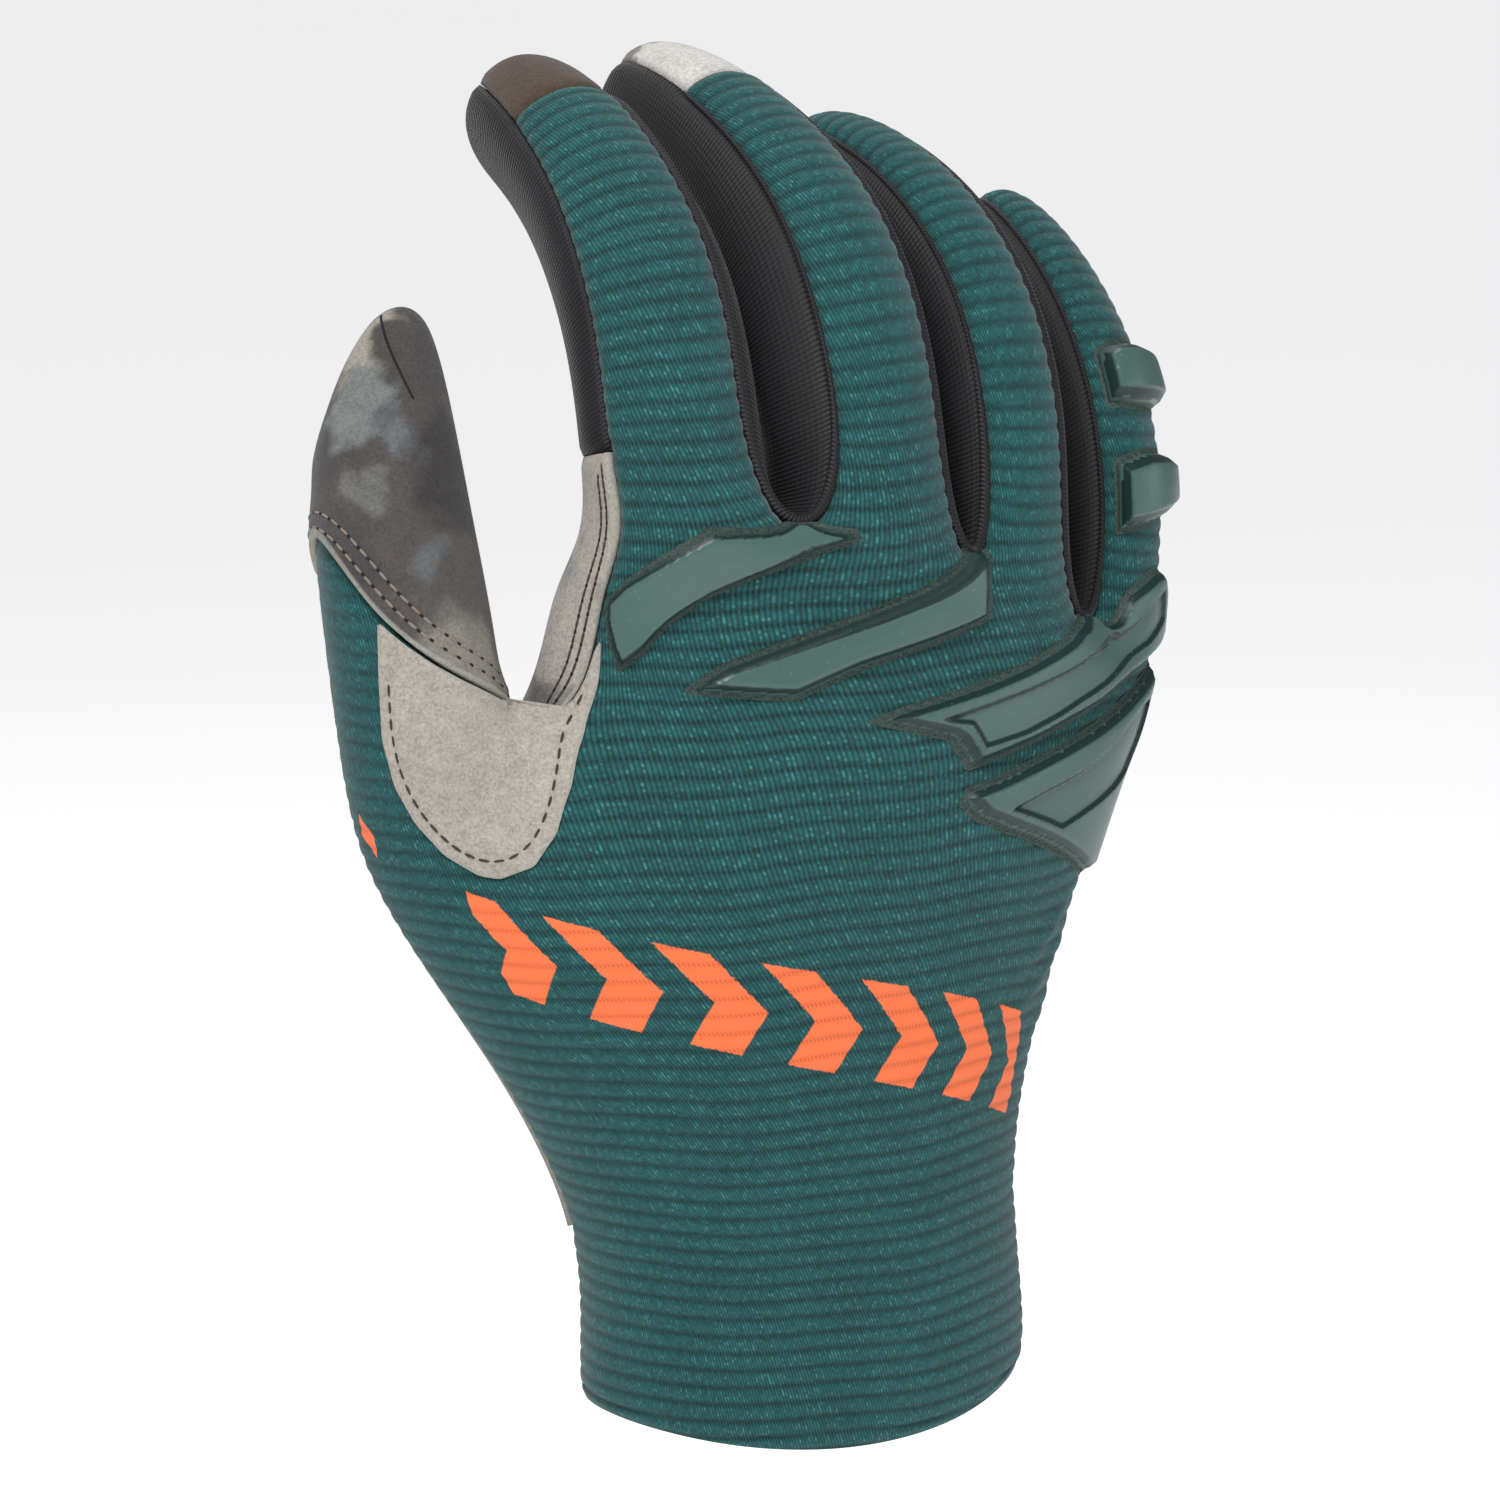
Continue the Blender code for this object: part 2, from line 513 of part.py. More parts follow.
def skin_arrays(found):
    """Points, vertex normals, faces, panels and pattern corners of the subdivided skin."""
    depsgraph = bpy.context.evaluated_depsgraph_get()
    mesh = bpy.data.meshes.new_from_object(found.evaluated_get(depsgraph), depsgraph=depsgraph)
    count = len(mesh.vertices)
    points = np.empty(count * 3)
    mesh.vertices.foreach_get("co", points)
    points = points.reshape(-1, 3)
    normals = np.array([tuple(v.normal) for v in mesh.vertices])
    faces = [tuple(p.vertices) for p in mesh.polygons]
    panels = [p.material_index for p in mesh.polygons]
    uv = np.empty(len(mesh.loops) * 2)
    mesh.uv_layers[0].data.foreach_get("uv", uv)
    uv = uv.reshape(-1, 2)
    corners = [uv[list(p.loop_indices)] for p in mesh.polygons]
    bpy.data.meshes.remove(mesh)
    return points, normals, faces, panels, corners


def wall_solid(points, normals, faces, wall, gap):
    """A cloth wall: the outer faces, the same faces set in by the wall, and rims along the borders."""
    used = sorted({i for face in faces for i in face})
    place = {i: n for n, i in enumerate(used)}
    edges = {}
    for face in faces:
        for a, b in zip(face, face[1:] + face[:1]):
            edges[(a, b)] = face
    borders = [(a, b) for (a, b) in edges if (b, a) not in edges]
    inward = {}
    for a, b in borders:
        corners = points[list(edges[(a, b)])]
        normal = np.cross(corners[2] - corners[0], corners[3] - corners[1])
        side = np.cross(normal, points[b] - points[a])
        side /= np.linalg.norm(side)
        for i in (a, b):
            inward.setdefault(i, []).append(side)
    outer = points[used].copy()
    for i, sides in inward.items():
        total = np.sum(sides, axis=0)
        size = np.linalg.norm(total)
        if size > 1e-9:
            total /= size
            reach = min(1.0 / max(float(np.dot(total, sides[0])), 0.5), 1.6)
            outer[place[i]] += total * reach * gap / 2
    inner = outer - normals[used] * wall
    total = len(used)
    out = [[place[i] for i in face] for face in faces]
    back = [[place[i] + total for i in reversed(face)] for face in faces]
    rims = [[place[b], place[a], place[a] + total, place[b] + total] for a, b in borders]
    return np.vstack([outer, inner]), out + back + rims


class PatternMap:
    """Finds the skin's point and normal at a place on a panel's flat pattern."""

    def __init__(self, points, normals, faces, corners):
        self.corners = []
        self.points = []
        self.normals = []
        for face, flat in zip(faces, corners):
            for trio in ((0, 1, 2), (0, 2, 3)):
                self.corners.append([Vector((flat[k][0], flat[k][1], 0)) for k in trio])
                self.points.append([Vector(points[face[k]]) for k in trio])
                self.normals.append([Vector(normals[face[k]]) for k in trio])
        flat_points = [corner for trio in self.corners for corner in trio]
        trios = [(3 * k, 3 * k + 1, 3 * k + 2) for k in range(len(self.corners))]
        self.tree = BVHTree.FromPolygons(flat_points, trios)

    def raised(self, across, up, height):
        """The point that stands a height above the skin at that place of the pattern."""
        place = Vector((across, up, 0))
        _, _, index, _ = self.tree.find_nearest(place)
        point = barycentric_transform(place, *self.corners[index], *self.points[index])
        normal = barycentric_transform(place, *self.corners[index], *self.normals[index])
        return point + normal.normalized() * height


def resampled(outline, step):
    """The outline's corners with extra points, so that no edge is longer than the step."""
    points = []
    for a, b in zip(outline, np.roll(outline, -1, axis=0)):
        count = max(1, math.ceil(np.linalg.norm(b - a) / step))
        points.extend(a + (b - a) * k / count for k in range(count))
    return np.array(points)


def inset(outline, distance):
    """A counter-clockwise outline moved inward, less where an edge would turn over."""
    run = np.roll(outline, -1, axis=0) - outline
    ahead = run / np.linalg.norm(run, axis=1, keepdims=True)
    behind = np.roll(ahead, 1, axis=0)
    left = np.stack([-ahead[:, 1], ahead[:, 0]], axis=1)
    left_behind = np.stack([-behind[:, 1], behind[:, 0]], axis=1)
    middle = left + left_behind
    middle /= np.linalg.norm(middle, axis=1, keepdims=True)
    reach = distance / np.clip(np.sum(middle * left, axis=1), 0.55, 1)
    for _ in range(12):
        moved = outline + middle * reach[:, None]
        new_run = np.roll(moved, -1, axis=0) - moved
        turned = np.sum(new_run * run, axis=1) < 0.15 * np.sum(run * run, axis=1)
        if not turned.any():
            break
        reach[turned | np.roll(turned, 1)] *= 0.7
    return moved


def filled(outline, step, margin):
    """Triangles that fill an outline, with grid points kept a margin clear of its edge."""
    low, high = outline.min(axis=0), outline.max(axis=0)
    grid = []
    for x in np.arange(low[0] + step / 2, high[0], step):
        for y in np.arange(low[1] + step / 2, high[1], step):
            crossings = 0
            nearest = 1e9
            for a, b in zip(outline, np.roll(outline, -1, axis=0)):
                if (a[1] > y) != (b[1] > y) and x < a[0] + (y - a[1]) * (b[0] - a[0]) / (b[1] - a[1]):
                    crossings += 1
                run = b - a
                share = np.clip(np.dot((x, y) - a, run) / np.dot(run, run), 0, 1)
                nearest = min(nearest, np.linalg.norm((x, y) - a - run * share))
            if crossings % 2 and nearest > margin:
                grid.append((x, y))
    places = [Vector(p) / MM for p in outline] + [Vector(p) / MM for p in grid]
    ring = list(range(len(outline)))
    found = delaunay_2d_cdt(places, [], [ring], 1, 1e-4)
    order = [origins[0] for origins in found[3]]
    trios = [[order[i] for i in face] for face in found[2]]
    return np.array([p * MM for p in places]), trios


def laid_solid(piece, pattern):
    """A flat piece laid on the skin: underside, upright edge, chamfer and top."""
    outline = np.array(piece.outline) * (PALM_WIDTH / DRAWN_PALM_WIDTH, WEB_HEIGHT / DRAWN_WEB_HEIGHT)
    area = np.sum(outline[:, 0] * np.roll(outline[:, 1], -1) - np.roll(outline[:, 0], -1) * outline[:, 1])
    if area < 0:
        outline = outline[::-1]
    outline = resampled(outline, LAID_STEP)
    top_outline = inset(outline, piece.chamfer)
    under, trios = filled(outline, LAID_STEP, piece.chamfer + 0.35 * LAID_STEP)
    count = len(outline)
    over = np.vstack([top_outline, under[count:]])
    top = piece.gap + piece.thickness
    points = [pattern.raised(x, y, piece.gap) for x, y in under]
    rim = len(points)
    points += [pattern.raised(x, y, top - piece.drop) for x, y in outline]
    crown = len(points)
    points += [pattern.raised(x, y, top) for x, y in over]
    faces = [list(reversed(trio)) for trio in trios]
    for k in range(count):
        n = (k + 1) % count
        faces.append([k, n, rim + n, rim + k])
        faces.append([rim + k, rim + n, crown + n, crown + k])
    faces += [[crown + i for i in trio] for trio in trios]
    return np.array(points), faces


def material(name, colour, roughness):
    made = bpy.data.materials.new(name)
    made.use_nodes = True
    shader = made.node_tree.nodes["Principled BSDF"]
    shader.inputs["Base Color"].default_value = colour + (1.0,)
    shader.inputs["Roughness"].default_value = roughness
    return made


def add_object(name, points, faces, collection):
    mesh = bpy.data.meshes.new(name)
    mesh.from_pydata([tuple(p) for p in points], [], faces)
    mesh.update()
    found = bpy.data.objects.new(name, mesh)
    found.data.materials.append(bpy.data.materials[name])
    collection.objects.link(found)
    return found


COLOURS = {
    "back_panel": ((0.020, 0.100, 0.095), 0.85),
    "palm_panel": ((0.270, 0.255, 0.235), 0.95),
    "thumb_sleeve": ((0.180, 0.175, 0.170), 0.95),
    "gusset_index_radial": ((0.012, 0.011, 0.013), 0.60),
    "gusset_index_middle": ((0.012, 0.011, 0.013), 0.60),
    "gusset_middle_ring": ((0.012, 0.011, 0.013), 0.60),
    "gusset_ring_little": ((0.012, 0.011, 0.013), 0.60),
    "thumb_crotch_patch": ((0.400, 0.370, 0.340), 0.95),
    "knuckle_pad_index": ((0.060, 0.125, 0.115), 0.40),
    "knuckle_pad_middle": ((0.060, 0.125, 0.115), 0.40),
    "ulnar_guard_upper": ((0.060, 0.125, 0.115), 0.40),
    "ulnar_guard_lower": ((0.060, 0.125, 0.115), 0.40),
    "little_block_distal": ((0.060, 0.125, 0.115), 0.40),
    "little_block_proximal": ((0.060, 0.125, 0.115), 0.40),
}


def main():
    for found in list(bpy.data.objects):
        bpy.data.objects.remove(found)
    scene = bpy.context.scene
    made = bpy.data.collections.new("motocross_glove")
    guides = bpy.data.collections.new("guides")
    scene.collection.children.link(made)
    scene.collection.children.link(guides)
    for name, (colour, roughness) in COLOURS.items():
        material(name, colour, roughness)
    cage = build_cage()
    skin = cage_object("skin_cage", cage, CAD_LEVEL, guides)
    points, normals, faces, panels, corners = skin_arrays(skin)
    for index, name in enumerate(PANEL_NAMES):
        chosen = [face for face, panel in zip(faces, panels) if panel == index]
        solid_points, solid_faces = wall_solid(points, normals, chosen, PANEL_WALLS[index], SEAM_GAP)
        add_object(name, solid_points, solid_faces, made)
    on_back = [k for k, panel in enumerate(panels) if panel == BACK]
    pattern = PatternMap(points, normals, [faces[k] for k in on_back], [corners[k] for k in on_back])
    for piece in LAID_PIECES:
        solid_points, solid_faces = laid_solid(piece, pattern)
        add_object(piece.name, solid_points, solid_faces, made)


main()
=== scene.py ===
"""Looks of a right-hand motocross glove: ribbed knit back, suede palm and thumb, stretch gussets,
moulded guards, a crotch patch, rolled seams and the stitches that hold them together.

The skin is the same coarse cage as the CAD's, subdivided further, so that each cloth panel lies where
its solid lies.  Flat pieces go onto the back panel through the back's flat pattern, whose u runs
across the hand from the middle finger and v runs up from the cuff.
"""

import logging
from dataclasses import dataclass, field
from enum import Enum, IntEnum
from typing import ClassVar, NamedTuple

import bpy
import numpy as np
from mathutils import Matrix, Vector
from mathutils.bvhtree import BVHTree


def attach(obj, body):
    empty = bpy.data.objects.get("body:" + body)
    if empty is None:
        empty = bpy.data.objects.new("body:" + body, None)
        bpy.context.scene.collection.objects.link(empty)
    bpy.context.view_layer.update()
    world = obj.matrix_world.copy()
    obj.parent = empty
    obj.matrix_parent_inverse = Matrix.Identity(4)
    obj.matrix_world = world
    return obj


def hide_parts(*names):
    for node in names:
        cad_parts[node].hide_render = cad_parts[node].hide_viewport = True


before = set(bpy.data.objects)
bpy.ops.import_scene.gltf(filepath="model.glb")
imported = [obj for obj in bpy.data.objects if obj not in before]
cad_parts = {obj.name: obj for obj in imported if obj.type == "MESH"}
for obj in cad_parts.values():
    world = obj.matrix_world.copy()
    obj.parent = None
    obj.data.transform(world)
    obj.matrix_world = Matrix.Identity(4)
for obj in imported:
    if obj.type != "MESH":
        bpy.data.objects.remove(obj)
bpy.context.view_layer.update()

log = logging.getLogger("glove")

MM = 0.001
SKIN_LEVEL = 3
PATTERN = "pattern"


class Panel(IntEnum):
    """The sewn panels, and the fingertip caps that are part of the palm's suede."""

    BACK = 0
    PALM = 1
    THUMB = 2
    GUSSET_INDEX_RADIAL = 3
    GUSSET_INDEX_MIDDLE = 4
    GUSSET_MIDDLE_RING = 5
    GUSSET_RING_LITTLE = 6
    CAP = 7
    OUTSIDE = 8


GUSSETS = (
    Panel.GUSSET_INDEX_RADIAL, Panel.GUSSET_INDEX_MIDDLE, Panel.GUSSET_MIDDLE_RING, Panel.GUSSET_RING_LITTLE,
)


class HandRow(NamedTuple):
    """A row below the web, in shares of the web's height, the thenar's width and the cuff's depth."""

    rise: float
    width: float
    depth: float
    shift: float
    drop: float
    lean: float
    arch: float
    droop: float


class PalmRow(NamedTuple):
    """A row between the web and the knuckles, in shares of the palm's width and depth."""

    rise: float
    width: float
    depth: float
    shift_x: float
    shift_y: float
    lean: float
    droop: float


class Finger(NamedTuple):
    """A finger's base, size, seams round it in degrees, and its lean towards the palm and sideways."""

    name: str
    length: float
    x: float
    y: float
    rise: float
    width: float
    depth: float
    seam_in: float
    seam_tip: float
    seam_out: float
    pitches: tuple[float, float, float, float]
    swings: tuple[float, float]
    bulge_in: float = 0.0
    bulge_out: float = 0.0
    capped: bool = False


class FingerSection(NamedTuple):
    """A section of a finger: place, thickness, and the share of its sides' bulge."""

    along: float
    size: float
    bulge: float


class ThumbSection(NamedTuple):
    """A section of the thumb: place, thickness, and how far the radial side runs ahead."""

    along: float
    size: float
    slant: float


Array = np.ndarray
Colour = tuple[int, int, int]
Outline = tuple[tuple[float, float], ...]


@dataclass(frozen=True)
class GloveSizes:
    """Sizes and row tables of the filled glove, as the CAD has them, in metres."""

    cuff_depth: float = 53.0 * MM
    web_height: float = 109.0 * MM
    thenar_width: float = 133.0 * MM
    palm_width: float = 98.0 * MM
    palm_depth: float = 34.0 * MM
    thumb_length: float = 74.0 * MM
    thumb_width: float = 27.0 * MM
    finger_width: float = 27.4 * MM
    finger_swell: float = 1.09
    hand_swell: float = 1.015
    hand_angles: tuple[float, ...] = tuple(-75.0 + 15.0 * step for step in range(24))
    palm_angles: tuple[float, ...] = (
        -66, -50, -30, -9, 12, 33, 51, 66, 80, 94, 109, 127, 146, 164, 182, 200, 219, 238, 256, 270,
    )
    thumb_angles: tuple[float, ...] = (-45, 0, 45, 90, 135, 180, 225, 270)
    thumb_leads: tuple[float, ...] = (-0.10, -0.62, -0.88, -1.00, -0.80, -0.30, 0.50, 1.05)
    cuff_bands: int = 3
    hand_rows: tuple[HandRow, ...] = (
        HandRow(0.00, 0.556, 1.00, 0.004, 0.00, 0.030, 0.048, 0.00),
        HandRow(0.07, 0.560, 1.00, 0.004, 0.00, 0.020, 0.035, 0.00),
        HandRow(0.17, 0.552, 0.98, 0.002, 0.00, 0.000, 0.015, 0.00),
        HandRow(0.29, 0.554, 0.96, -0.007, 0.00, 0.000, 0.005, 0.00),
        HandRow(0.41, 0.594, 0.94, -0.022, 0.02, 0.000, 0.000, 0.00),
        HandRow(0.54, 0.676, 0.93, -0.037, 0.06, 0.000, 0.000, 0.00),
        HandRow(0.69, 0.796, 0.91, -0.058, 0.12, 0.000, 0.000, 0.02),
        HandRow(0.84, 0.907, 0.86, -0.073, 0.18, 0.000, 0.000, 0.05),
    )
    palm_rows: tuple[PalmRow, ...] = (
        PalmRow(1.00, 1.03, 1.20, 0.075, 0.06, 0.00, 0.09),
        PalmRow(1.09, 1.07, 1.10, 0.085, 0.08, -0.06, 0.12),
        PalmRow(1.20, 1.07, 1.00, 0.110, 0.10, -0.08, 0.17),
    )
    fingers: tuple[Finger, ...] = (
        Finger("index", 89 * MM, -0.225, 0.00, 1.32, 0.99, 1.01, -82, -56, 40, (10, 15, 43, 78), (1, -4),
               0.00, 0.30, True),
        Finger("middle", 99 * MM, 0.100, -0.03, 1.275, 1.05, 1.06, -33, -33, 46, (11, 8, 50, 78), (2, -14),
               0.30, 0.00, True),
        Finger("ring", 94 * MM, 0.350, 0.05, 1.175, 0.91, 0.98, -29, -29, 35, (6, 2, 43, 82), (6, -13)),
        Finger("little", 81 * MM, 0.598, 0.33, 1.075, 0.78, 0.86, -25, -25, 80, (-1, 4, 32, 66), (8, -7)),
    )
    finger_sections: tuple[FingerSection, ...] = (
        FingerSection(0.13, 0.97, 0.25), FingerSection(0.29, 0.97, 0.90), FingerSection(0.45, 0.96, 1.00),
        FingerSection(0.62, 0.91, 0.50), FingerSection(0.79, 0.86, 0.10), FingerSection(0.92, 0.80, 0.00),
        FingerSection(0.985, 0.60, 0.00),
    )
    pitch_shares: tuple[float, ...] = (0.0, 0.25, 0.5, 0.9)
    tip_along: float = 1.01
    cap_bands: int = 2
    tab_angle: float = -60.0
    strip_out: float = 142.0
    strip_in: float = 218.0
    crotch_back: tuple[float, ...] = (1.300, 1.238, 1.103)
    crotch_palm: tuple[float, ...] = (1.330, 1.270, 1.140)
    crotch_sink: float = 0.05
    thumb_place: tuple[float, float, float] = (-0.452, 0.18, 0.985)
    thumb_pitch: tuple[float, ...] = (22.0, 16.0, 14.0)
    thumb_swing: tuple[float, ...] = (1.0, 4.0, 12.0)
    thumb_sections: tuple[ThumbSection, ...] = (
        ThumbSection(0.35, 1.03, 0.30), ThumbSection(0.50, 1.00, 0.22), ThumbSection(0.64, 0.86, 0.14),
        ThumbSection(0.77, 0.70, 0.08), ThumbSection(0.88, 0.51, 0.03), ThumbSection(0.96, 0.29, 0.00),
    )
    web_x: float = -0.352
    web_back: tuple[float, float] = (0.00, 1.07)
    web_palm: float = 0.30

    @property
    def column(self) -> float:
        """Width of one column of the flat pattern."""
        return self.palm_width / 8


def smooth(share: Array) -> Array:
    """Smooth step: 3s squared less 2s cubed, on s held between 0 and 1."""
    held = np.clip(share, 0.0, 1.0)
    return held * held * (3.0 - 2.0 * held)


def unit(vectors: Array) -> Array:
    """The same directions with length one."""
    return vectors / np.maximum(np.linalg.norm(vectors, axis=-1, keepdims=True), 1e-12)


def linked(name: str, data: bpy.types.ID) -> bpy.types.Object:
    """A new object in the scene.

    Args:
        name: The object's name.
        data: The mesh, camera or lamp that it holds.

    Returns:
        The linked object.
    """
    found = bpy.data.objects.new(name, data)
    bpy.context.scene.collection.objects.link(found)
    return found


class Cage:
    """Control points and quads of the skin, with each quad's panel and its corners on the pattern."""

    def __init__(self, sizes: GloveSizes) -> None:
        """Keeps the sizes and starts with no points.

        Args:
            sizes: The glove's sizes and row tables.
        """
        self.sizes = sizes
        self.points: list[Array] = []
        self.quads: list[list[int]] = []
        self.panels: list[int] = []
        self.corners: list[list[tuple[float, float]]] = []

    def ellipse(self, angles: tuple[float, ...], half_width: float, half_depth: float) -> Array:
        """Points round an ellipse; 0 degrees is the back of the hand and 90 the little-finger side."""
        angle = np.radians(np.asarray(angles, float))
        return np.stack([half_width * np.sin(angle), -half_depth * np.cos(angle)], axis=1)

    def hand_ring(self, row: HandRow) -> Array:
        """One row of the hand below the web: an ellipse whose thumb side drops towards the palm.

        Args:
            row: The row's shares.

        Returns:
            24 points, from the thumb's side round the back.
        """
        s = self.sizes
        half = row.width * s.thenar_width / 2
        flat = self.ellipse(s.hand_angles, half * s.hand_swell, row.depth * s.cuff_depth / 2 * s.hand_swell)
        thumb_side = np.clip(-flat[:, 0] / half, 0, 1) ** 2
        across = flat[:, 0] / half
        lift = row.arch * across ** 2 - row.droop * np.clip(across, 0, 1) ** 2
        return np.stack([
            flat[:, 0] + row.shift * s.thenar_width,
            flat[:, 1] + thumb_side * row.drop * s.cuff_depth,
            (row.rise + lift) * s.web_height + row.lean * flat[:, 0],
        ], axis=1)

    def palm_ring(self, row: PalmRow) -> Array:
        """One row of the palm above the web: a plain ellipse of 20 points.

        Args:
            row: The row's shares.

        Returns:
            20 points, from the thumb's side round the back.
        """
        s = self.sizes
        flat = self.ellipse(s.palm_angles, row.width * s.palm_width / 2, row.depth * s.palm_depth / 2)
        fall = row.droop * np.clip(2 * flat[:, 0] / (row.width * s.palm_width), 0, 1) ** 2
        return np.stack([
            flat[:, 0] + row.shift_x * s.palm_width,
            flat[:, 1] + row.shift_y * s.palm_depth,
            (row.rise - fall) * s.web_height + row.lean * flat[:, 0],
        ], axis=1)

    @staticmethod
    def path(start: Array, length: float, shares: tuple[float, ...], pitches: tuple[float, ...],
             swings: tuple[float, ...]) -> tuple[Array, Array, Array]:
        """Centreline of a finger: a line of that length whose lean follows the tables.

        Args:
            start: The base's centre.
            length: The line's length.
            shares: Places along the line where the pitches hold.
            pitches: Leans towards the palm, in degrees.
            swings: Leans sideways, in degrees, evenly placed.

        Returns:
            Shares of the length, the points there and the headings there.
        """
        along = np.linspace(0, 1.05, 200)
        pitch = np.radians(np.interp(along, shares, pitches))
        swing = np.radians(np.interp(along, np.linspace(0, 1, len(swings)), swings))
        heading = unit(np.stack([np.tan(swing), np.sin(pitch), np.cos(pitch)], axis=1))
        middle = (heading[1:] + heading[:-1]) / 2
        run = np.vstack([np.zeros(3), np.cumsum(middle * length * np.diff(along)[:, None], axis=0)])
        return along, np.asarray(start) + run, heading

    @staticmethod
    def at(share: float, along: Array, values: Array) -> Array:
        """The path's point or heading at a share of its length."""
        return np.array([np.interp(share, along, values[:, axis]) for axis in range(3)])

    @staticmethod
    def tube_ring(centre: Array, heading: Array, angles: tuple[float, ...], half_width: float | Array,
                  half_depth: float) -> Array:
        """A ring round a finger, square to its heading.

        Args:
            centre: The ring's centre.
            heading: Which way the finger runs there.
            angles: Each point's place round it, in degrees from the back.
            half_width: Half its width, one value or one for each point.
            half_depth: Half its depth.

        Returns:
            One point for each angle.
        """
        heading = unit(heading)
        side = unit(np.array([1.0, 0.0, 0.0]) - heading * heading[0])
        back = np.cross(side, heading)
        angle = np.radians(np.asarray(angles, float))[:, None]
        return centre + half_width * np.sin(angle) * side + half_depth * np.cos(angle) * back

    def finger_rings(self, finger: Finger) -> tuple[list[Array], Array]:
        """The rings of one finger, its base first, and the point at its end.

        Args:
            finger: The finger's row.

        Returns:
            The rings, base first, and the end point.
        """
        s = self.sizes
        start = (finger.x * s.palm_width, finger.y * s.palm_depth, finger.rise * s.web_height)
        along, points, headings = self.path(
            start, finger.length, s.pitch_shares, finger.pitches, finger.swings,
        )
        half_width = finger.width * s.finger_width / 2 * s.finger_swell
        half_depth = finger.depth * s.finger_width / 2 * s.finger_swell
        rings = []
        for place, size, bulge in (FingerSection(0.0, 1.0, 0.0), *s.finger_sections):
            seam_in = finger.seam_in + (finger.seam_tip - finger.seam_in) * place
            seam_out = finger.seam_out
            angles = (
                seam_in, (seam_in + seam_out) / 2, seam_out, (seam_out + s.strip_out) / 2,
                s.strip_out, 180.0, s.strip_in, (seam_in + 360.0 + s.strip_in) / 2,
            )
            widths = np.full((8, 1), half_width * size)
            widths[3] *= 1 + finger.bulge_out * bulge
            widths[7] *= 1 + finger.bulge_in * bulge
            rings.append(self.tube_ring(
                self.at(place, along, points), self.at(place, along, headings), angles, widths,
                half_depth * size,
            ))
        return rings, self.at(s.tip_along, along, points)

    def thumb_rings(self) -> tuple[Array, list[Array], Array]:
        """The thumb's base, its slanting rings above the web, and the point at its end.

        Returns:
            The base ring, the rings above the web and the end point.
        """
        s = self.sizes
        start = np.array(s.thumb_place) * (s.thenar_width, s.cuff_depth, s.web_height)
        along, points, headings = self.path(
            start, s.thumb_length, (0.0, 0.5, 1.0), s.thumb_pitch, s.thumb_swing,
        )
        half = s.thumb_width / 2 * s.finger_swell
        base = self.tube_ring(points[0], headings[0], s.thumb_angles, half, half)
        lead = np.array(s.thumb_leads)[:, None]
        rings = []
        for section in s.thumb_sections:
            heading = self.at(section.along, along, headings)
            size = half * section.size
            ring = self.tube_ring(self.at(section.along, along, points), heading, s.thumb_angles, size, size)
            rings.append(ring + lead * section.slant * s.thumb_length * heading)
        return base, rings, self.at(1.0, along, points)

    def add(self, points: Array) -> list[int]:
        """Adds points and returns their numbers.

        Args:
            points: New points, one a row.

        Returns:
            Their numbers.
        """
        first = len(self.points)
        self.points.extend(np.asarray(points, float))
        return list(range(first, len(self.points)))

    def heights(self, ids: list[int]) -> Array:
        """Heights of points, which are their places up the pattern."""
        return np.array([self.points[i][2] for i in ids])

    def band(self, low: list[int], high: list[int], panels: list[int], across: list[tuple[float, float]],
             v_low: Array, v_high: Array) -> None:
        """Quads between two closed rings of equal count; across is each column's place.

        Args:
            low: Numbers of the lower ring's points.
            high: Numbers of the upper ring's points.
            panels: Each column's panel.
            across: Each column's start and end on the pattern, in columns.
            v_low: Heights of the lower ring on the pattern.
            v_high: Heights of the upper ring.
        """
        step = self.sizes.column
        for k in range(len(low)):
            n = (k + 1) % len(low)
            start, end = across[k][0] * step, across[k][1] * step
            self.quads.append([low[k], low[n], high[n], high[k]])
            self.panels.append(panels[k])
            self.corners.append([(start, v_low[k]), (end, v_low[n]), (end, v_high[n]), (start, v_high[k])])

    def cap(self, ring: list[int], tip: int, panels: list[int], across: list[tuple[float, float]],
            v_ring: Array, v_tip: float) -> None:
        """Four quads that close a ring of eight round one point, each with its first column's panel.

        Args:
            ring: Numbers of the last ring's points.
            tip: Number of the end point.
            panels: Each column's panel.
            across: Each column's start and end on the pattern, in columns.
            v_ring: Heights of the ring on the pattern.
            v_tip: Height of the end point.
        """
        step = self.sizes.column
        for k in (0, 2, 4, 6):
            far = (k + 2) % 8
            start, middle, end = across[k][0] * step, across[k][1] * step, across[k + 1][1] * step
            self.quads.append([ring[k], ring[k + 1], ring[far], tip])
            self.panels.append(panels[k])
            self.corners.append([
                (start, v_ring[k]), (middle, v_ring[k + 1]), (end, v_ring[far]), (middle, v_tip),
            ])

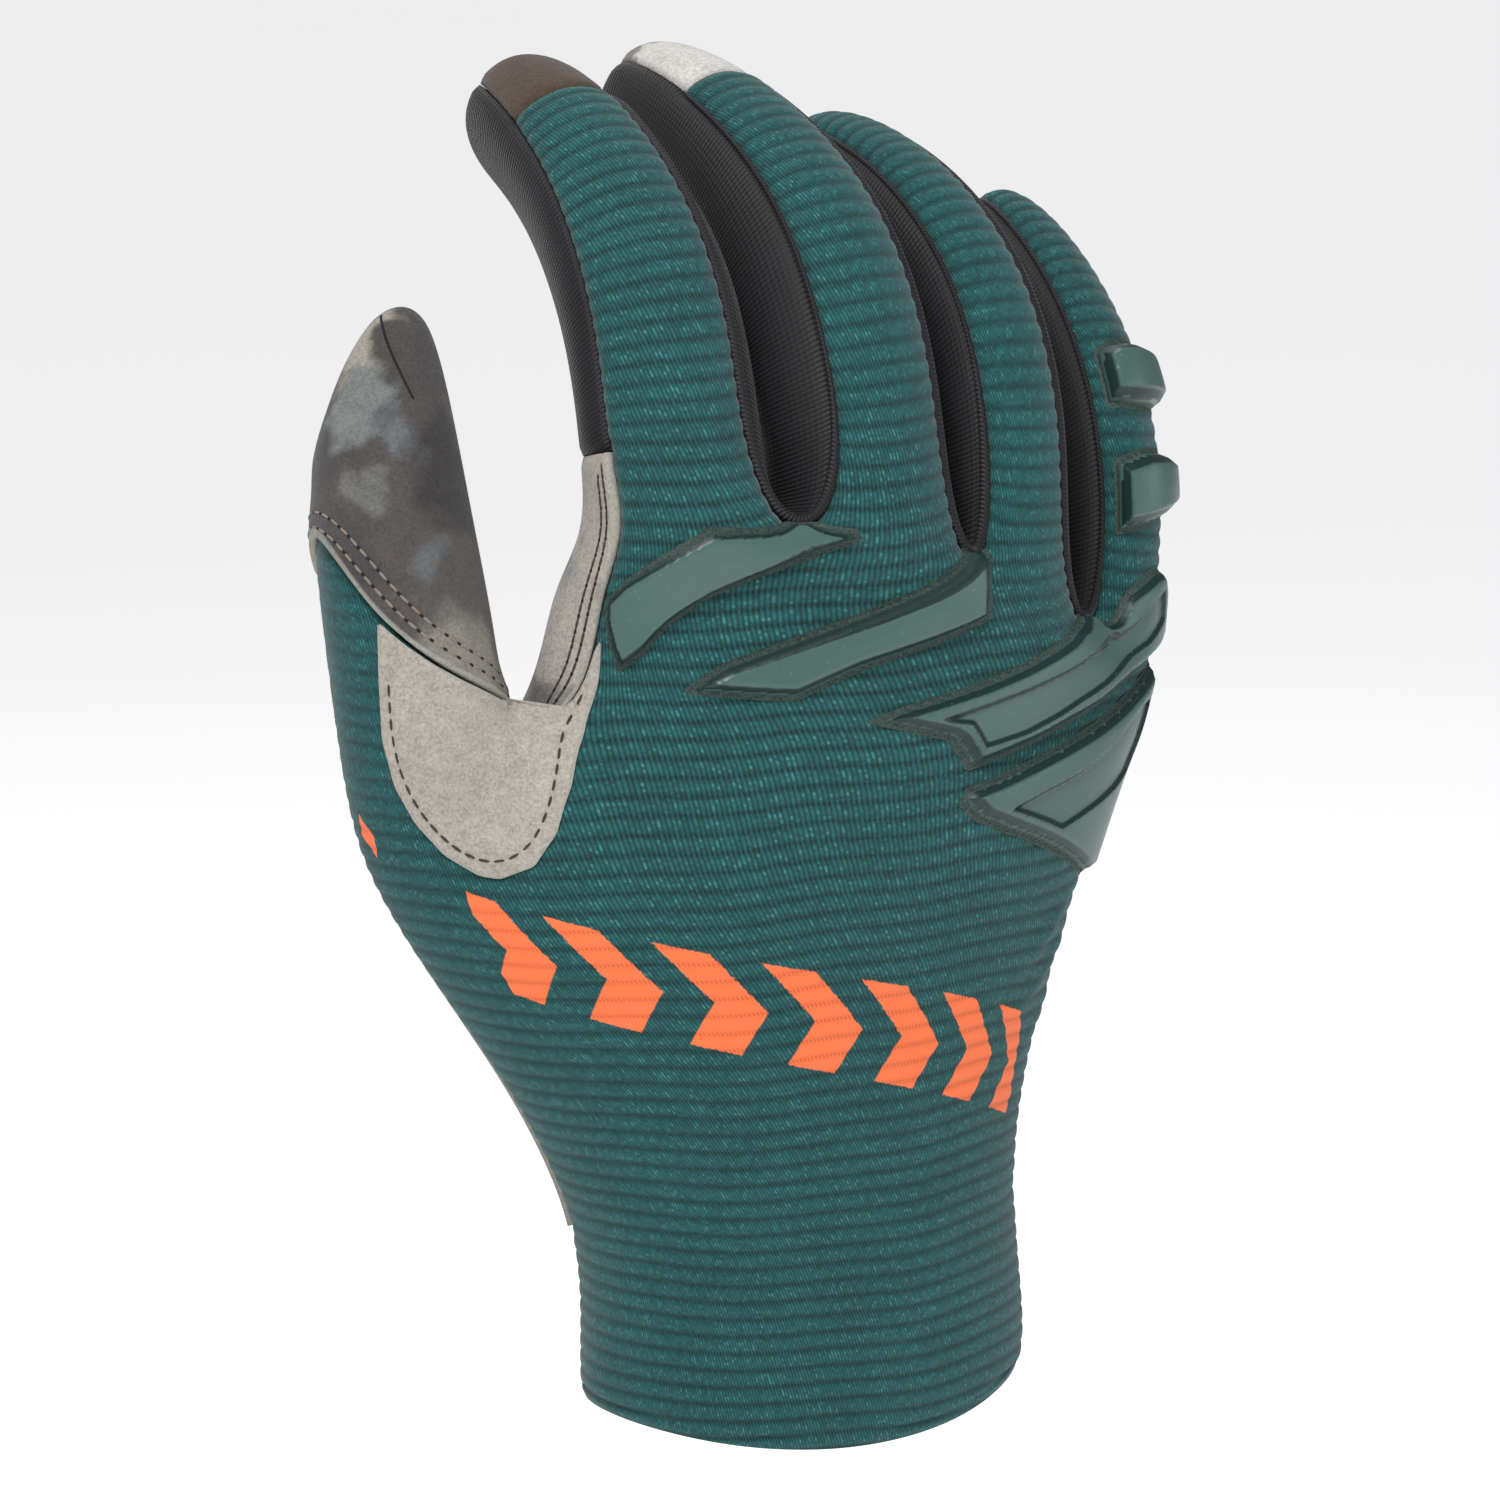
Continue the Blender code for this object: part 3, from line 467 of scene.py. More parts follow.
    def build(self) -> None:
        """The whole glove: hand rows, web, thumb, palm tube, crotches and fingers."""
        s = self.sizes
        hand_across = [(k - 6, k - 5) if k < 22 else (k - 30, k - 29) for k in range(24)]
        above_cuff = [Panel.PALM if 12 <= k <= 21 else Panel.BACK for k in range(24)]
        thumb_base, thumb_above, thumb_tip = self.thumb_rings()
        palm_rows = [self.palm_ring(row) for row in s.palm_rows]
        web_x = s.web_x * s.thenar_width
        web_back = (web_x, s.web_back[0] * s.cuff_depth, s.web_back[1] * s.web_height)
        web_palm = (web_x, s.web_palm * s.cuff_depth, s.web_height)
        web_mid = (web_x, (s.web_back[0] + s.web_palm) / 2 * s.cuff_depth, s.web_height)
        web_ring = np.vstack([thumb_base[0:2], [web_back], palm_rows[0][1:18], [web_palm], thumb_base[5:8]])
        rings = [self.hand_ring(row) for row in s.hand_rows] + [web_ring]
        rows = [self.add(ring) for ring in rings]
        for k in range(len(rows) - 1):
            panels = [Panel.BACK] * 24 if k < s.cuff_bands else above_cuff
            self.band(rows[k], rows[k + 1], panels, hand_across, rings[k][:, 2], rings[k + 1][:, 2])
        web_row = rows[-1]
        web_middle = self.add([web_mid])[0]
        self.build_thumb(web_row, web_middle, thumb_above, thumb_tip)
        self.build_palm_and_fingers(web_row, web_middle, palm_rows)

    def build_thumb(self, web_row: list[int], web_middle: int, above: list[Array], tip_point: Array) -> None:
        """Eight columns of thumb; its first band is knit outside and palm suede inside.

        Args:
            web_row: The ring at the web.
            web_middle: The point between back and palm in the web.
            above: The thumb's rings.
            tip_point: The point at its end.
        """
        across = [(-6, -5), (-5, -4), (-4, -3), (-3, -2), (14, 15), (15, 16), (-8, -7), (-7, -6)]
        back, palm, thumb = Panel.BACK, Panel.PALM, Panel.THUMB
        first = [back, back, thumb, thumb, palm, palm, back, back]
        low = web_row[0:3] + [web_middle] + web_row[20:24]
        v_low = self.heights(low)
        for k, ring in enumerate(above):
            high = self.add(ring)
            self.band(low, high, first if k == 0 else [thumb] * 8, across, v_low, ring[:, 2])
            low, v_low = high, ring[:, 2]
        tip = self.add([tip_point])[0]
        self.cap(low, tip, [thumb] * 8, across, v_low, tip_point[2])

    def build_palm_and_fingers(self, web_row: list[int], web_middle: int, palm_rows: list[Array]) -> None:
        """Twenty columns of palm between web and knuckles, then eight columns for each finger.

        Args:
            web_row: The ring at the web.
            web_middle: The point between back and palm in the web.
            palm_rows: The rows from the web up.
        """
        s = self.sizes
        tube_across = [(k - 4, k - 3) for k in range(20)]
        tube_panels = [Panel.BACK] * 10 + [Panel.PALM] * 10
        fingers = [self.finger_rings(finger) for finger in s.fingers]
        bases = [found[0] for found, _ in fingers]
        knuckles = np.zeros((20, 3))
        for f, base in enumerate(bases):
            knuckles[2 * f + 1] = base[1]
            knuckles[17 - 2 * f] = base[5]
        knuckles[0] = self.finger_rings(s.fingers[0]._replace(seam_in=s.tab_angle))[0][0][0]
        knuckles[18:20] = bases[0][6:8]
        knuckles[8:11] = bases[3][2:5]
        middles = []
        for f in range(3):
            back = (bases[f][2] + bases[f + 1][0]) / 2
            palm = (bases[f][4] + bases[f + 1][6]) / 2
            back[2] = s.crotch_back[f] * s.web_height
            palm[2] = s.crotch_palm[f] * s.web_height
            knuckles[2 * f + 2], knuckles[16 - 2 * f] = back, palm
            middles.append((back + palm) / 2 - (0, 0, s.crotch_sink * s.web_height))
        low = [web_row[k] for k in range(2, 21)] + [web_middle]
        v_low = self.heights(low)
        for ring in palm_rows[1:] + [knuckles]:
            high = self.add(ring)
            self.band(low, high, tube_panels, tube_across, v_low, ring[:, 2])
            low, v_low = high, ring[:, 2]
        middle_ids = self.add(middles)
        for f in range(4):
            outer_id = middle_ids[f] if f < 3 else low[9]
            inner_id = middle_ids[f - 1] if f > 0 else low[19]
            base_ids = [
                low[2 * f], low[2 * f + 1], low[2 * f + 2], outer_id, low[16 - 2 * f], low[17 - 2 * f],
                low[18 - 2 * f], inner_id,
            ]
            self.build_finger(f, base_ids, *fingers[f])

    def build_finger(self, f: int, base_ids: list[int], rings: list[Array], end: Array) -> None:
        """One finger: back strip, outer side, palm strip and inner side, closed by its suede cap.

        Args:
            f: The finger's place in the table.
            base_ids: Numbers of its base ring's points.
            rings: Its rings, base first.
            end: The point at its end.
        """
        s = self.sizes
        length = s.fingers[f].length
        base_v = s.fingers[f].rise * s.web_height
        back_u, palm_u = 2 * f - 4, 12 - 2 * f
        outer = [(0, 1), (1, 2)] if f < 3 else [(4, 5), (5, 6)]
        outer_panel = GUSSETS[f + 1] if f < 3 else Panel.BACK
        back, palm = Panel.BACK, Panel.PALM
        panels = [back, back, outer_panel, outer_panel, palm, palm, GUSSETS[f], GUSSETS[f]]
        across = [(back_u, back_u + 1), (back_u + 1, back_u + 2)] + outer
        across += [(palm_u, palm_u + 1), (palm_u + 1, palm_u + 2), (2, 1), (1, 0)]
        capped = s.fingers[f].capped
        cap_panels = ([Panel.CAP] * 2 if capped else panels[:2]) + panels[2:4] + [Panel.CAP] * 2 + panels[6:]
        cap_back = [(palm_u + 4, palm_u + 5), (palm_u + 5, palm_u + 6)]
        cap_across = (cap_back if capped else across[:2]) + across[2:]
        tip_panels = cap_panels[:2] + ([Panel.CAP] * 2 if capped else panels[2:4]) + cap_panels[4:]
        ids, v_here = base_ids, self.heights(base_ids)
        for k, (along, *_) in enumerate(s.finger_sections):
            high = self.add(rings[k + 1])
            v_next = np.full(8, base_v + along * length)
            here, places = panels, across
            if k >= len(s.finger_sections) - s.cap_bands:
                here, places = cap_panels, cap_across
            elif f == 0 and k == 0:
                here = panels[:6] + [palm, palm]
                places = across[:6] + [(palm_u + 2, palm_u + 3), (palm_u + 3, palm_u + 4)]
            self.band(ids, high, here, places, v_here, v_next)
            ids, v_here = high, v_next
        tip = self.add([end])[0]
        self.cap(ids, tip, tip_panels, cap_across, v_here, base_v + s.tip_along * length)


@dataclass
class Skin:
    """The subdivided skin: points, normals, quads, panels, pattern corners and each edge's far side."""

    points: Array
    normals: Array
    faces: Array
    panels: Array
    corners: Array
    across_edge: Array = field(init=False)

    def __post_init__(self) -> None:
        """Finds the panel beyond each edge: the twin edge runs the other way in the next face."""
        count = len(self.points)
        start = self.faces.ravel()
        end = np.roll(self.faces, -1, axis=1).ravel()
        keys, twins = start * count + end, end * count + start
        order = np.argsort(keys)
        spot = np.clip(np.searchsorted(keys[order], twins), 0, len(keys) - 1)
        found = order[spot]
        beyond = self.panels[found // 4]
        beyond[keys[found] != twins] = Panel.OUTSIDE
        self.across_edge = beyond.reshape(-1, 4)

    @classmethod
    def from_cage(cls, cage: Cage, level: int) -> "Skin":
        """Subdivides the cage with the Subdivision Surface modifier and reads it back as arrays.

        Args:
            cage: The coarse cage.
            level: How many times it is subdivided.

        Returns:
            The fine skin.
        """
        mesh = bpy.data.meshes.new("skin_cage")
        mesh.from_pydata([tuple(p) for p in cage.points], [], cage.quads)
        layer = mesh.uv_layers.new(name=PATTERN)
        layer.data.foreach_set("uv", np.array(cage.corners).ravel())
        for _ in Panel:
            mesh.materials.append(None)
        mesh.polygons.foreach_set("material_index", [int(panel) for panel in cage.panels])
        holder = linked("skin_cage", mesh)
        modifier = holder.modifiers.new("Subdivision", "SUBSURF")
        modifier.levels = modifier.render_levels = level
        depsgraph = bpy.context.evaluated_depsgraph_get()
        fine = bpy.data.meshes.new_from_object(holder.evaluated_get(depsgraph), depsgraph=depsgraph)
        points = np.empty(len(fine.vertices) * 3)
        fine.vertices.foreach_get("co", points)
        normals = np.empty(len(fine.vertices) * 3)
        fine.vertex_normals.foreach_get("vector", normals)
        faces = np.empty(len(fine.loops), int)
        fine.loops.foreach_get("vertex_index", faces)
        panels = np.empty(len(fine.polygons), int)
        fine.polygons.foreach_get("material_index", panels)
        corners = np.empty(len(fine.loops) * 2)
        fine.uv_layers[0].data.foreach_get("uv", corners)
        bpy.data.objects.remove(holder)
        bpy.data.meshes.remove(mesh)
        bpy.data.meshes.remove(fine)
        return cls(points.reshape(-1, 3), normals.reshape(-1, 3), faces.reshape(-1, 4), panels,
                   corners.reshape(-1, 4, 2))


class PatternMap:
    """Finds places of a panel's flat pattern on the skin, for whole arrays of places at once."""

    CELL = 2.5 * MM
    STRIDE = 100000

    def __init__(self, skin: Skin, panel: Panel) -> None:
        """Splits the panel's quads in triangles and files them by the pattern cells they touch.

        Args:
            skin: The fine skin.
            panel: Which panel.
        """
        chosen = skin.panels == panel
        trios = np.array([[0, 1, 2], [0, 2, 3]])
        self.flat = skin.corners[chosen][:, trios].reshape(-1, 3, 2)
        ids = skin.faces[chosen][:, trios].reshape(-1, 3)
        self.points, self.normals = skin.points[ids], skin.normals[ids]
        low = np.floor(self.flat.min(axis=1) / self.CELL).astype(int)
        high = np.floor(self.flat.max(axis=1) / self.CELL).astype(int)
        span = (high - low).max(axis=0) + 1
        keys, owners = [], []
        for dx in range(span[0]):
            for dy in range(span[1]):
                cell = low + (dx, dy)
                inside = np.all(cell <= high, axis=1)
                keys.append((cell[:, 0] * self.STRIDE + cell[:, 1])[inside])
                owners.append(np.nonzero(inside)[0])
        keys, owners = np.concatenate(keys), np.concatenate(owners)
        order = np.argsort(keys, kind="stable")
        self.keys, self.owners = keys[order], owners[order]

    def find(self, places: Array) -> tuple[Array, Array]:
        """Skin points and normals: of the triangles filed in a place's cell, the one holding it best.

        Args:
            places: Places on the flat pattern, in metres.

        Returns:
            Points and unit normals on the skin.
        """
        cell = np.floor(places / self.CELL).astype(int)
        key = cell[:, 0] * self.STRIDE + cell[:, 1]
        first = np.searchsorted(self.keys, key, "left")
        last = np.searchsorted(self.keys, key, "right")
        missing = first == last
        first[missing] = np.clip(first[missing] - 1, 0, len(self.keys) - 1)
        last[missing] = first[missing] + 1
        best = np.full(len(places), -np.inf)
        shares = np.zeros((len(places), 3))
        owner = self.owners[first]
        for k in range(int((last - first).max())):
            candidate = self.owners[np.minimum(first + k, last - 1)]
            a, b, c = (self.flat[candidate, i] for i in range(3))
            ab, ac, ap = b - a, c - a, places - a
            area = ab[:, 0] * ac[:, 1] - ab[:, 1] * ac[:, 0]
            area = np.where(np.abs(area) < 1e-12, 1e-12, area)
            beta = (ap[:, 0] * ac[:, 1] - ap[:, 1] * ac[:, 0]) / area
            gamma = (ab[:, 0] * ap[:, 1] - ab[:, 1] * ap[:, 0]) / area
            found = np.stack([1 - beta - gamma, beta, gamma], axis=1)
            score = found.min(axis=1)
            better = score > best
            best[better], shares[better], owner[better] = score[better], found[better], candidate[better]
        shares = np.clip(shares, -0.5, 1.5)
        shares /= shares.sum(axis=1, keepdims=True)
        points = np.einsum("ij,ijk->ik", shares, self.points[owner])
        normals = unit(np.einsum("ij,ijk->ik", shares, self.normals[owner]))
        return points, normals

    def raised(self, places: Array, height: Array | float) -> Array:
        """Skin points moved out along the skin's normal by a height."""
        points, normals = self.find(np.asarray(places, float))
        return points + normals * np.reshape(height, (-1, 1))


class Wire:
    """A shader socket that Python's operators turn into Math nodes."""

    def __init__(self, graph: "Graph", socket: bpy.types.NodeSocket) -> None:
        """Keeps the graph and the socket."""
        self.graph, self.socket = graph, socket

    def maths(self, operation: str, *values: "Wire | float") -> "Wire":
        """A Math node of that operation on these values."""
        return self.graph.node("ShaderNodeMath", {"operation": operation}, dict(enumerate(values)))

    def __add__(self, other: "Wire | float") -> "Wire":
        """Sum."""
        return self.maths("ADD", self, other)

    __radd__ = __add__

    def __sub__(self, other: "Wire | float") -> "Wire":
        """Difference."""
        return self.maths("SUBTRACT", self, other)

    def __rsub__(self, other: float) -> "Wire":
        """Difference from a number."""
        return self.maths("SUBTRACT", other, self)

    def __mul__(self, other: "Wire | float") -> "Wire":
        """Product."""
        return self.maths("MULTIPLY", self, other)

    __rmul__ = __mul__

    def __abs__(self) -> "Wire":
        """Size without sign."""
        return self.maths("ABSOLUTE", self)

    def sine(self) -> "Wire":
        """Sine of radians."""
        return self.maths("SINE", self)

    def floor(self) -> "Wire":
        """Whole part."""
        return self.maths("FLOOR", self)

    def fraction(self) -> "Wire":
        """Part after the point."""
        return self.maths("FRACT", self)

    def maximum(self, other: "Wire") -> "Wire":
        """The larger of two numbers."""
        return self.maths("MAXIMUM", self, other)

    def step(self, low: float, high: float) -> "Wire":
        """0 below low, 1 above high, smooth between; a low above high turns it round.

        Args:
            low: Where the step starts.
            high: Where it ends.

        Returns:
            A wire between 0 and 1.
        """
        kind = {"interpolation_type": "SMOOTHSTEP", "clamp": True}
        if low <= high:
            return self.graph.node("ShaderNodeMapRange", kind, {0: self, 1: low, 2: high, 3: 0.0, 4: 1.0})
        return self.graph.node("ShaderNodeMapRange", kind, {0: self, 1: high, 2: low, 3: 1.0, 4: 0.0})


class Graph:
    """A material's node tree, filled through one method for nodes and a few for common groups."""

    def __init__(self, name: str) -> None:
        """Makes the material with one Principled BSDF.

        Args:
            name: The material's name.
        """
        self.material = bpy.data.materials.new(name)
        self.material.use_nodes = True
        self.tree = self.material.node_tree
        self.shader = self.tree.nodes["Principled BSDF"]

    def node(self, kind: str, settings: dict | None = None, sockets: dict | None = None,
             output: int | str = 0) -> Wire:
        """Any node.

        Args:
            kind: The node's type.
            settings: Its own settings, set first.
            sockets: Values or wires by socket number or name.
            output: Which output the wire takes.

        Returns:
            A wire from that output.
        """
        made = self.tree.nodes.new(kind)
        for key, value in (settings or {}).items():
            setattr(made, key, value)
        for key, value in (sockets or {}).items():
            if isinstance(value, Wire):
                self.tree.links.new(value.socket, made.inputs[key])
            else:
                made.inputs[key].default_value = value
        return Wire(self, made.outputs[output])

    def place(self) -> Wire:
        """Object coordinates."""
        return self.node("ShaderNodeTexCoord", output="Object")

    def pattern(self) -> tuple[Wire, Wire]:
        """Pattern coordinates in millimetres: across and up.

        Returns:
            Wires across and up the pattern.
        """
        uv = self.node("ShaderNodeUVMap", {"uv_map": PATTERN})
        split = self.node("ShaderNodeSeparateXYZ", sockets={0: uv})
        up = Wire(self, split.socket.node.outputs[1])
        return split * 1000.0, up * 1000.0

    def attribute(self, name: str) -> Wire:
        """A number stored on the mesh."""
        return self.node("ShaderNodeAttribute", {"attribute_name": name}, output="Fac")

    def noise(self, place: Wire, scale: float, detail: float = 2.0, rough: float = 0.5) -> Wire:
        """Perlin noise between about 0 and 1, with features of 1 / scale metres."""
        return self.node("ShaderNodeTexNoise", None,
                         {"Vector": place, "Scale": scale, "Detail": detail, "Roughness": rough})

    def speckle(self, across: Wire, up: Wire) -> Wire:
        """A random number for each whole cell of two numbers."""
        cell = self.node("ShaderNodeCombineXYZ", sockets={0: across.floor(), 1: up.floor()})
        return self.node("ShaderNodeTexWhiteNoise", {"noise_dimensions": "2D"}, {"Vector": cell})

    def mix(self, share: Wire | float, first: "Wire | tuple", second: "Wire | tuple") -> Wire:
        """Colour mix: first where share is 0, second where it is 1."""
        sockets = {0: share, 6: self.colour(first), 7: self.colour(second)}
        return self.node("ShaderNodeMix", {"data_type": "RGBA"}, sockets, output=2)

    def tone(self, colour: "Wire | tuple", level: Wire) -> Wire:
        """Colour times a brightness.

        Args:
            colour: A wire or an sRGB colour.
            level: The brightness.

        Returns:
            The scaled colour.
        """
        scale = self.node("ShaderNodeCombineXYZ", sockets={0: level, 1: level, 2: level})
        sockets = {0: 1.0, 6: self.colour(colour), 7: scale}
        return self.node("ShaderNodeMix", {"data_type": "RGBA", "blend_type": "MULTIPLY"}, sockets, output=2)

    @staticmethod
    def colour(value: "Wire | tuple") -> "Wire | tuple":
        """A colour socket's value: wires stay, sRGB numbers from 0 to 255 become linear.

        Args:
            value: A wire, or three numbers from 0 to 255.

        Returns:
            What the socket takes.
        """
        if isinstance(value, Wire):
            return value
        share = np.array(value, float) / 255
        linear = np.where(share <= 0.04045, share / 12.92, ((share + 0.055) / 1.055) ** 2.4)
        return (*linear.tolist(), 1.0)

    def bump(self, height: Wire, distance: float, strength: float = 1.0) -> Wire:
        """A bumped normal from a height between 0 and 1 that stands for that distance in metres."""
        sockets = {"Strength": strength, "Distance": distance, "Height": height}
        return self.node("ShaderNodeBump", None, sockets)

    def finish(self, colour: "Wire | tuple", rough: Wire | float, normal: Wire | None = None,
               **steady: float) -> bpy.types.Material:
        """Feeds the shader; steady values go straight onto its own sockets.

        Args:
            colour: Base colour.
            rough: Roughness.
            normal: Bumped normal, if any.
            steady: Values of other sockets, with _ for each space in their names.

        Returns:
            The finished material.
        """
        for name, value in (("Base Color", self.colour(colour)), ("Roughness", rough), ("Normal", normal)):
            if isinstance(value, Wire):
                self.tree.links.new(value.socket, self.shader.inputs[name])
            elif value is not None:
                self.shader.inputs[name].default_value = value
        for name, value in steady.items():
            self.shader.inputs[name.replace("_", " ")].default_value = value
        return self.material


@dataclass(frozen=True)
class KnitFinish:
    """Ribbed heather knit with slanting stitches, holes between ribs and a printed motif, with painted shade
    in grooves and holes and painted glints on ridges.
    """

    name: str = "teal_rib_knit"
    shade: Colour = (22, 62, 62)
    body: Colour = (35, 99, 100)
    glint: Colour = (104, 180, 178)
    print_colour: Colour = (255, 122, 72)
    wale: float = 0.66
    course: float = 0.92
    slant: float = 0.35
    band_middle: float = 67.4
    band_slope: float = -0.299
    band_half: float = 8.2
    chevron_pitch: float = 14.2

    def chevrons(self, graph: Graph, across: Wire, up: Wire) -> Wire:
        """Mask of the printed chevrons: a slanting band cut into arrow bars, with a fuzzy edge.

        The band's height t runs from -1 to 1 between its edges; a bar is where the fractional part of
        across / pitch plus half of |t| lies under a half.

        Args:
            graph: The material's nodes.
            across: Place across the pattern.
            up: Place up the pattern.

        Returns:
            1 on the print, 0 beside it.
        """
        fuzz = (graph.noise(graph.place(), 1500.0, 1.0) - 0.5) * 0.5
        height = (up - (across + 10.0) * self.band_slope - self.band_middle + fuzz) * (1 / self.band_half)
        bars = ((across + 300.0 + fuzz) * (1 / self.chevron_pitch) + abs(height) * 0.42).fraction()
        inside = abs(height).step(1.01, 0.98) * bars.step(0.0, 0.02) * bars.step(0.54, 0.52)
        span = across.step(-62.0, -61.8) * across.step(30.4, 30.2)
        lozenge = (abs(across + 83.2 + (up - 98.5) * 0.55) * 1.3 + abs(up - 98.5)).step(3.4, 3.2)
        return (inside * span).maximum(lozenge)

    def material(self) -> bpy.types.Material:
        """Builds the node tree.

        Returns:
            The material.
        """
        graph = Graph(self.name)
        across, up = graph.pattern()
        rib = graph.attribute("rib")
        place = graph.place()
        lean = across + up * self.slant
        column = lean * (np.pi / self.wale)
        ridge = abs(column.sine())
        row = abs((up * (np.pi / self.course)).sine())
        thread = graph.speckle(lean * (1 / self.wale), up * (1 / (0.5 * self.course)))
        cloud = graph.noise(place, 90.0, 3.0)
        # painted shade: the holes between ribs go dark
        hole_shade = (1 - ridge).step(0.35, 0.85) * rib.step(0.42, 0.05)
        fleck = graph.noise(place, 1400.0, 2.0, 0.7)
        # painted shade and light: ridge tops lighter, wale and rib grooves darker; the thread speckle is the
        # yarn's own tone
        light = (0.25 + 0.75 * ridge) * (0.55 + 0.45 * thread) * (0.50 + 0.50 * rib)
        level = (0.42 + 0.36 * light + 0.35 * (cloud - 0.5) + 0.50 * fleck) * (1 - 0.65 * hole_shade)
        # painted highlight: glints on the ridge tops of some threads
        glint = thread.step(0.80, 1.0) * ridge.step(0.7, 1.0) * rib.step(0.3, 0.9)
        yarn = graph.mix(light.step(0.0, 0.9), self.shade, self.body)
        yarn = graph.mix(glint * 0.28, yarn, self.glint)
        printed = self.chevrons(graph, across, up)
        # the print gets the same painted shade in grooves and holes
        ink = graph.tone(self.print_colour, 0.86 + 0.14 * rib - 0.35 * hole_shade)
        colour = graph.mix(printed, graph.tone(yarn, level), ink)
        height = ridge * 0.55 + row * 0.25 + thread * 0.2
        normal = graph.bump(height * 0.7 + fleck * 0.3, 0.16 * MM, 0.55)
        rough = 0.84 - 0.12 * glint
        return graph.finish(colour, rough, normal, Sheen_Weight=0.15, Sheen_Roughness=0.5,
                            Specular_IOR_Level=0.3)


@dataclass(frozen=True)
class Spot:
    """A soft cloud of colour on suede: centre and radius in millimetres."""

    centre: tuple[float, float, float]
    radius: float
    colour: Colour
    soft: float = 3.0


@dataclass(frozen=True)
class SuedeFinish:
    """Napped suede in generic clouds: noise between two greys, laid over with soft spots."""

    name: str
    base: Colour
    cloud: Colour
    spots: tuple[Spot, ...] = ()
    cloud_scale: float = 38.0
    wander: float = 14 * MM
    edge: Colour = (176, 174, 164)

    def material(self) -> bpy.types.Material:
        """Builds the node tree.

        Returns:
            The material.
        """
        graph = Graph(self.name)
        place = graph.place()
        drift = graph.node(
            "ShaderNodeTexNoise", None, {"Vector": place, "Scale": 115.0, "Detail": 3.0}, "Color",
        )
        spread = {0: drift, 1: (self.wander,) * 3, 2: place}
        offset = graph.node("ShaderNodeVectorMath", {"operation": "MULTIPLY_ADD"}, spread)
        middle = {0: offset, 1: (self.wander / 2,) * 3}
        moved = graph.node("ShaderNodeVectorMath", {"operation": "SUBTRACT"}, middle)
        clouds = graph.noise(moved, self.cloud_scale, 2.0)
        colour = graph.mix(clouds.step(0.45, 0.56), self.base, self.cloud)
        for spot in self.spots:
            centre = tuple(value * MM for value in spot.centre)
            ends = {0: moved, 1: centre}
            gap = graph.node("ShaderNodeVectorMath", {"operation": "DISTANCE"}, ends, "Value")
            inside = (gap * 1000.0).step(spot.radius + spot.soft / 2, spot.radius - spot.soft / 2)
            colour = graph.mix(inside, colour, spot.colour)
        nap = graph.noise(place, 1900.0, 3.0, 0.75)
        brush = graph.noise(place, 380.0, 3.0, 0.65)
        colour = graph.tone(colour, 0.02 + 1.35 * nap + 0.50 * brush)
        cut = graph.attribute("cut").step(0.25, 0.75)
        fuzz = graph.tone(self.edge, 0.30 + 1.1 * nap)
        colour = graph.mix(cut, colour, fuzz)
        normal = graph.bump(nap * 0.6 + brush * 0.4, 0.45 * MM, 0.9)
        return graph.finish(colour, 0.93, normal, Sheen_Weight=0.15, Sheen_Roughness=0.6,
                            Specular_IOR_Level=0.2)


@dataclass(frozen=True)
class GussetFinish:
    """Smooth black stretch knit: fine ribs across the finger, crossed by faint wales, painted darker in their
    grooves as shade and lighter on their crests as sheen.
    """

    name: str = "black_gusset_knit"
    shade: Colour = (7, 6, 8)
    body: Colour = (33, 30, 36)
    pitch: float = 0.72

    def material(self) -> bpy.types.Material:
        """Builds the node tree.

        Returns:
            The material.
        """
        graph = Graph(self.name)
        across, up = graph.pattern()
        rib = 0.5 + 0.5 * ((up + across * 0.25) * (2 * np.pi / self.pitch)).sine()
        wale = 0.5 + 0.5 * (across * (2 * np.pi / 0.9)).sine()
        cloud = graph.noise(graph.place(), 160.0, 3.0)
        # painted shade and sheen: rib grooves and wale furrows darker, crests lighter; the cloud is the
        # yarn's own tone
        level = rib * 0.65 + wale * 0.15 + cloud * 0.4 - 0.1
        colour = graph.mix(level.step(0.05, 0.95), self.shade, self.body)
        normal = graph.bump(rib * 0.8 + wale * 0.2, 0.20 * MM, 0.8)
        return graph.finish(colour, 0.56 + 0.12 * rib, normal, Sheen_Weight=0.12, Sheen_Roughness=0.35,
                            Specular_IOR_Level=0.42)


@dataclass(frozen=True)
class RubberFinish:
    """Satin moulded rubber: bevels and recess walls painted darker than faces as shade, a darker fuzzy welded
    flange, dust and fine scratches.
    """

    name: str = "grey_green_rubber"
    shade: Colour = (70, 100, 95)
    face: Colour = (74, 102, 97)
    # painted shade on slopes, bevels and recess walls
    bevel: Colour = (17, 44, 43)
    # with the next colour, a darker mottled band along the outline's flange
    flange: Colour = (58, 78, 70)
    rim_dark: Colour = (22, 38, 36)
    dust: Colour = (132, 150, 138)

    def material(self) -> bpy.types.Material:
        """Builds the node tree.

        Returns:
            The material.
        """
        graph = Graph(self.name)
        place = graph.place()
        edge, slope_shade = graph.attribute("edge"), graph.attribute("slope_shade")
        grain = graph.noise(place, 2600.0, 2.0, 0.7)
        mottle = graph.noise(place, 70.0, 2.0)
        specks = graph.noise(place, 1500.0, 1.0, 0.6)
        colour = graph.mix(mottle.step(0.3, 0.7), self.shade, self.face)
        # painted shade: slopes, bevels and recess walls darkened
        colour = graph.mix(slope_shade.step(0.10, 0.55), colour, self.bevel)
        colour = graph.mix(specks.step(0.70, 0.78) * 0.30, colour, self.dust)
        # the flange along the outline is a darker, mottled and rougher band
        rim = edge.step(1.15, 0.85)
        rim_tone = graph.mix(grain.step(0.35, 0.65), self.rim_dark, self.flange)
        colour = graph.mix(rim * 0.9, colour, rim_tone)
        rough = 0.30 + 0.14 * grain + 0.3 * rim + 0.10 * slope_shade
        normal = graph.bump(grain * 0.6 + specks * 0.4, 0.06 * MM, 0.5)
        return graph.finish(colour, rough, normal, Specular_IOR_Level=0.5)


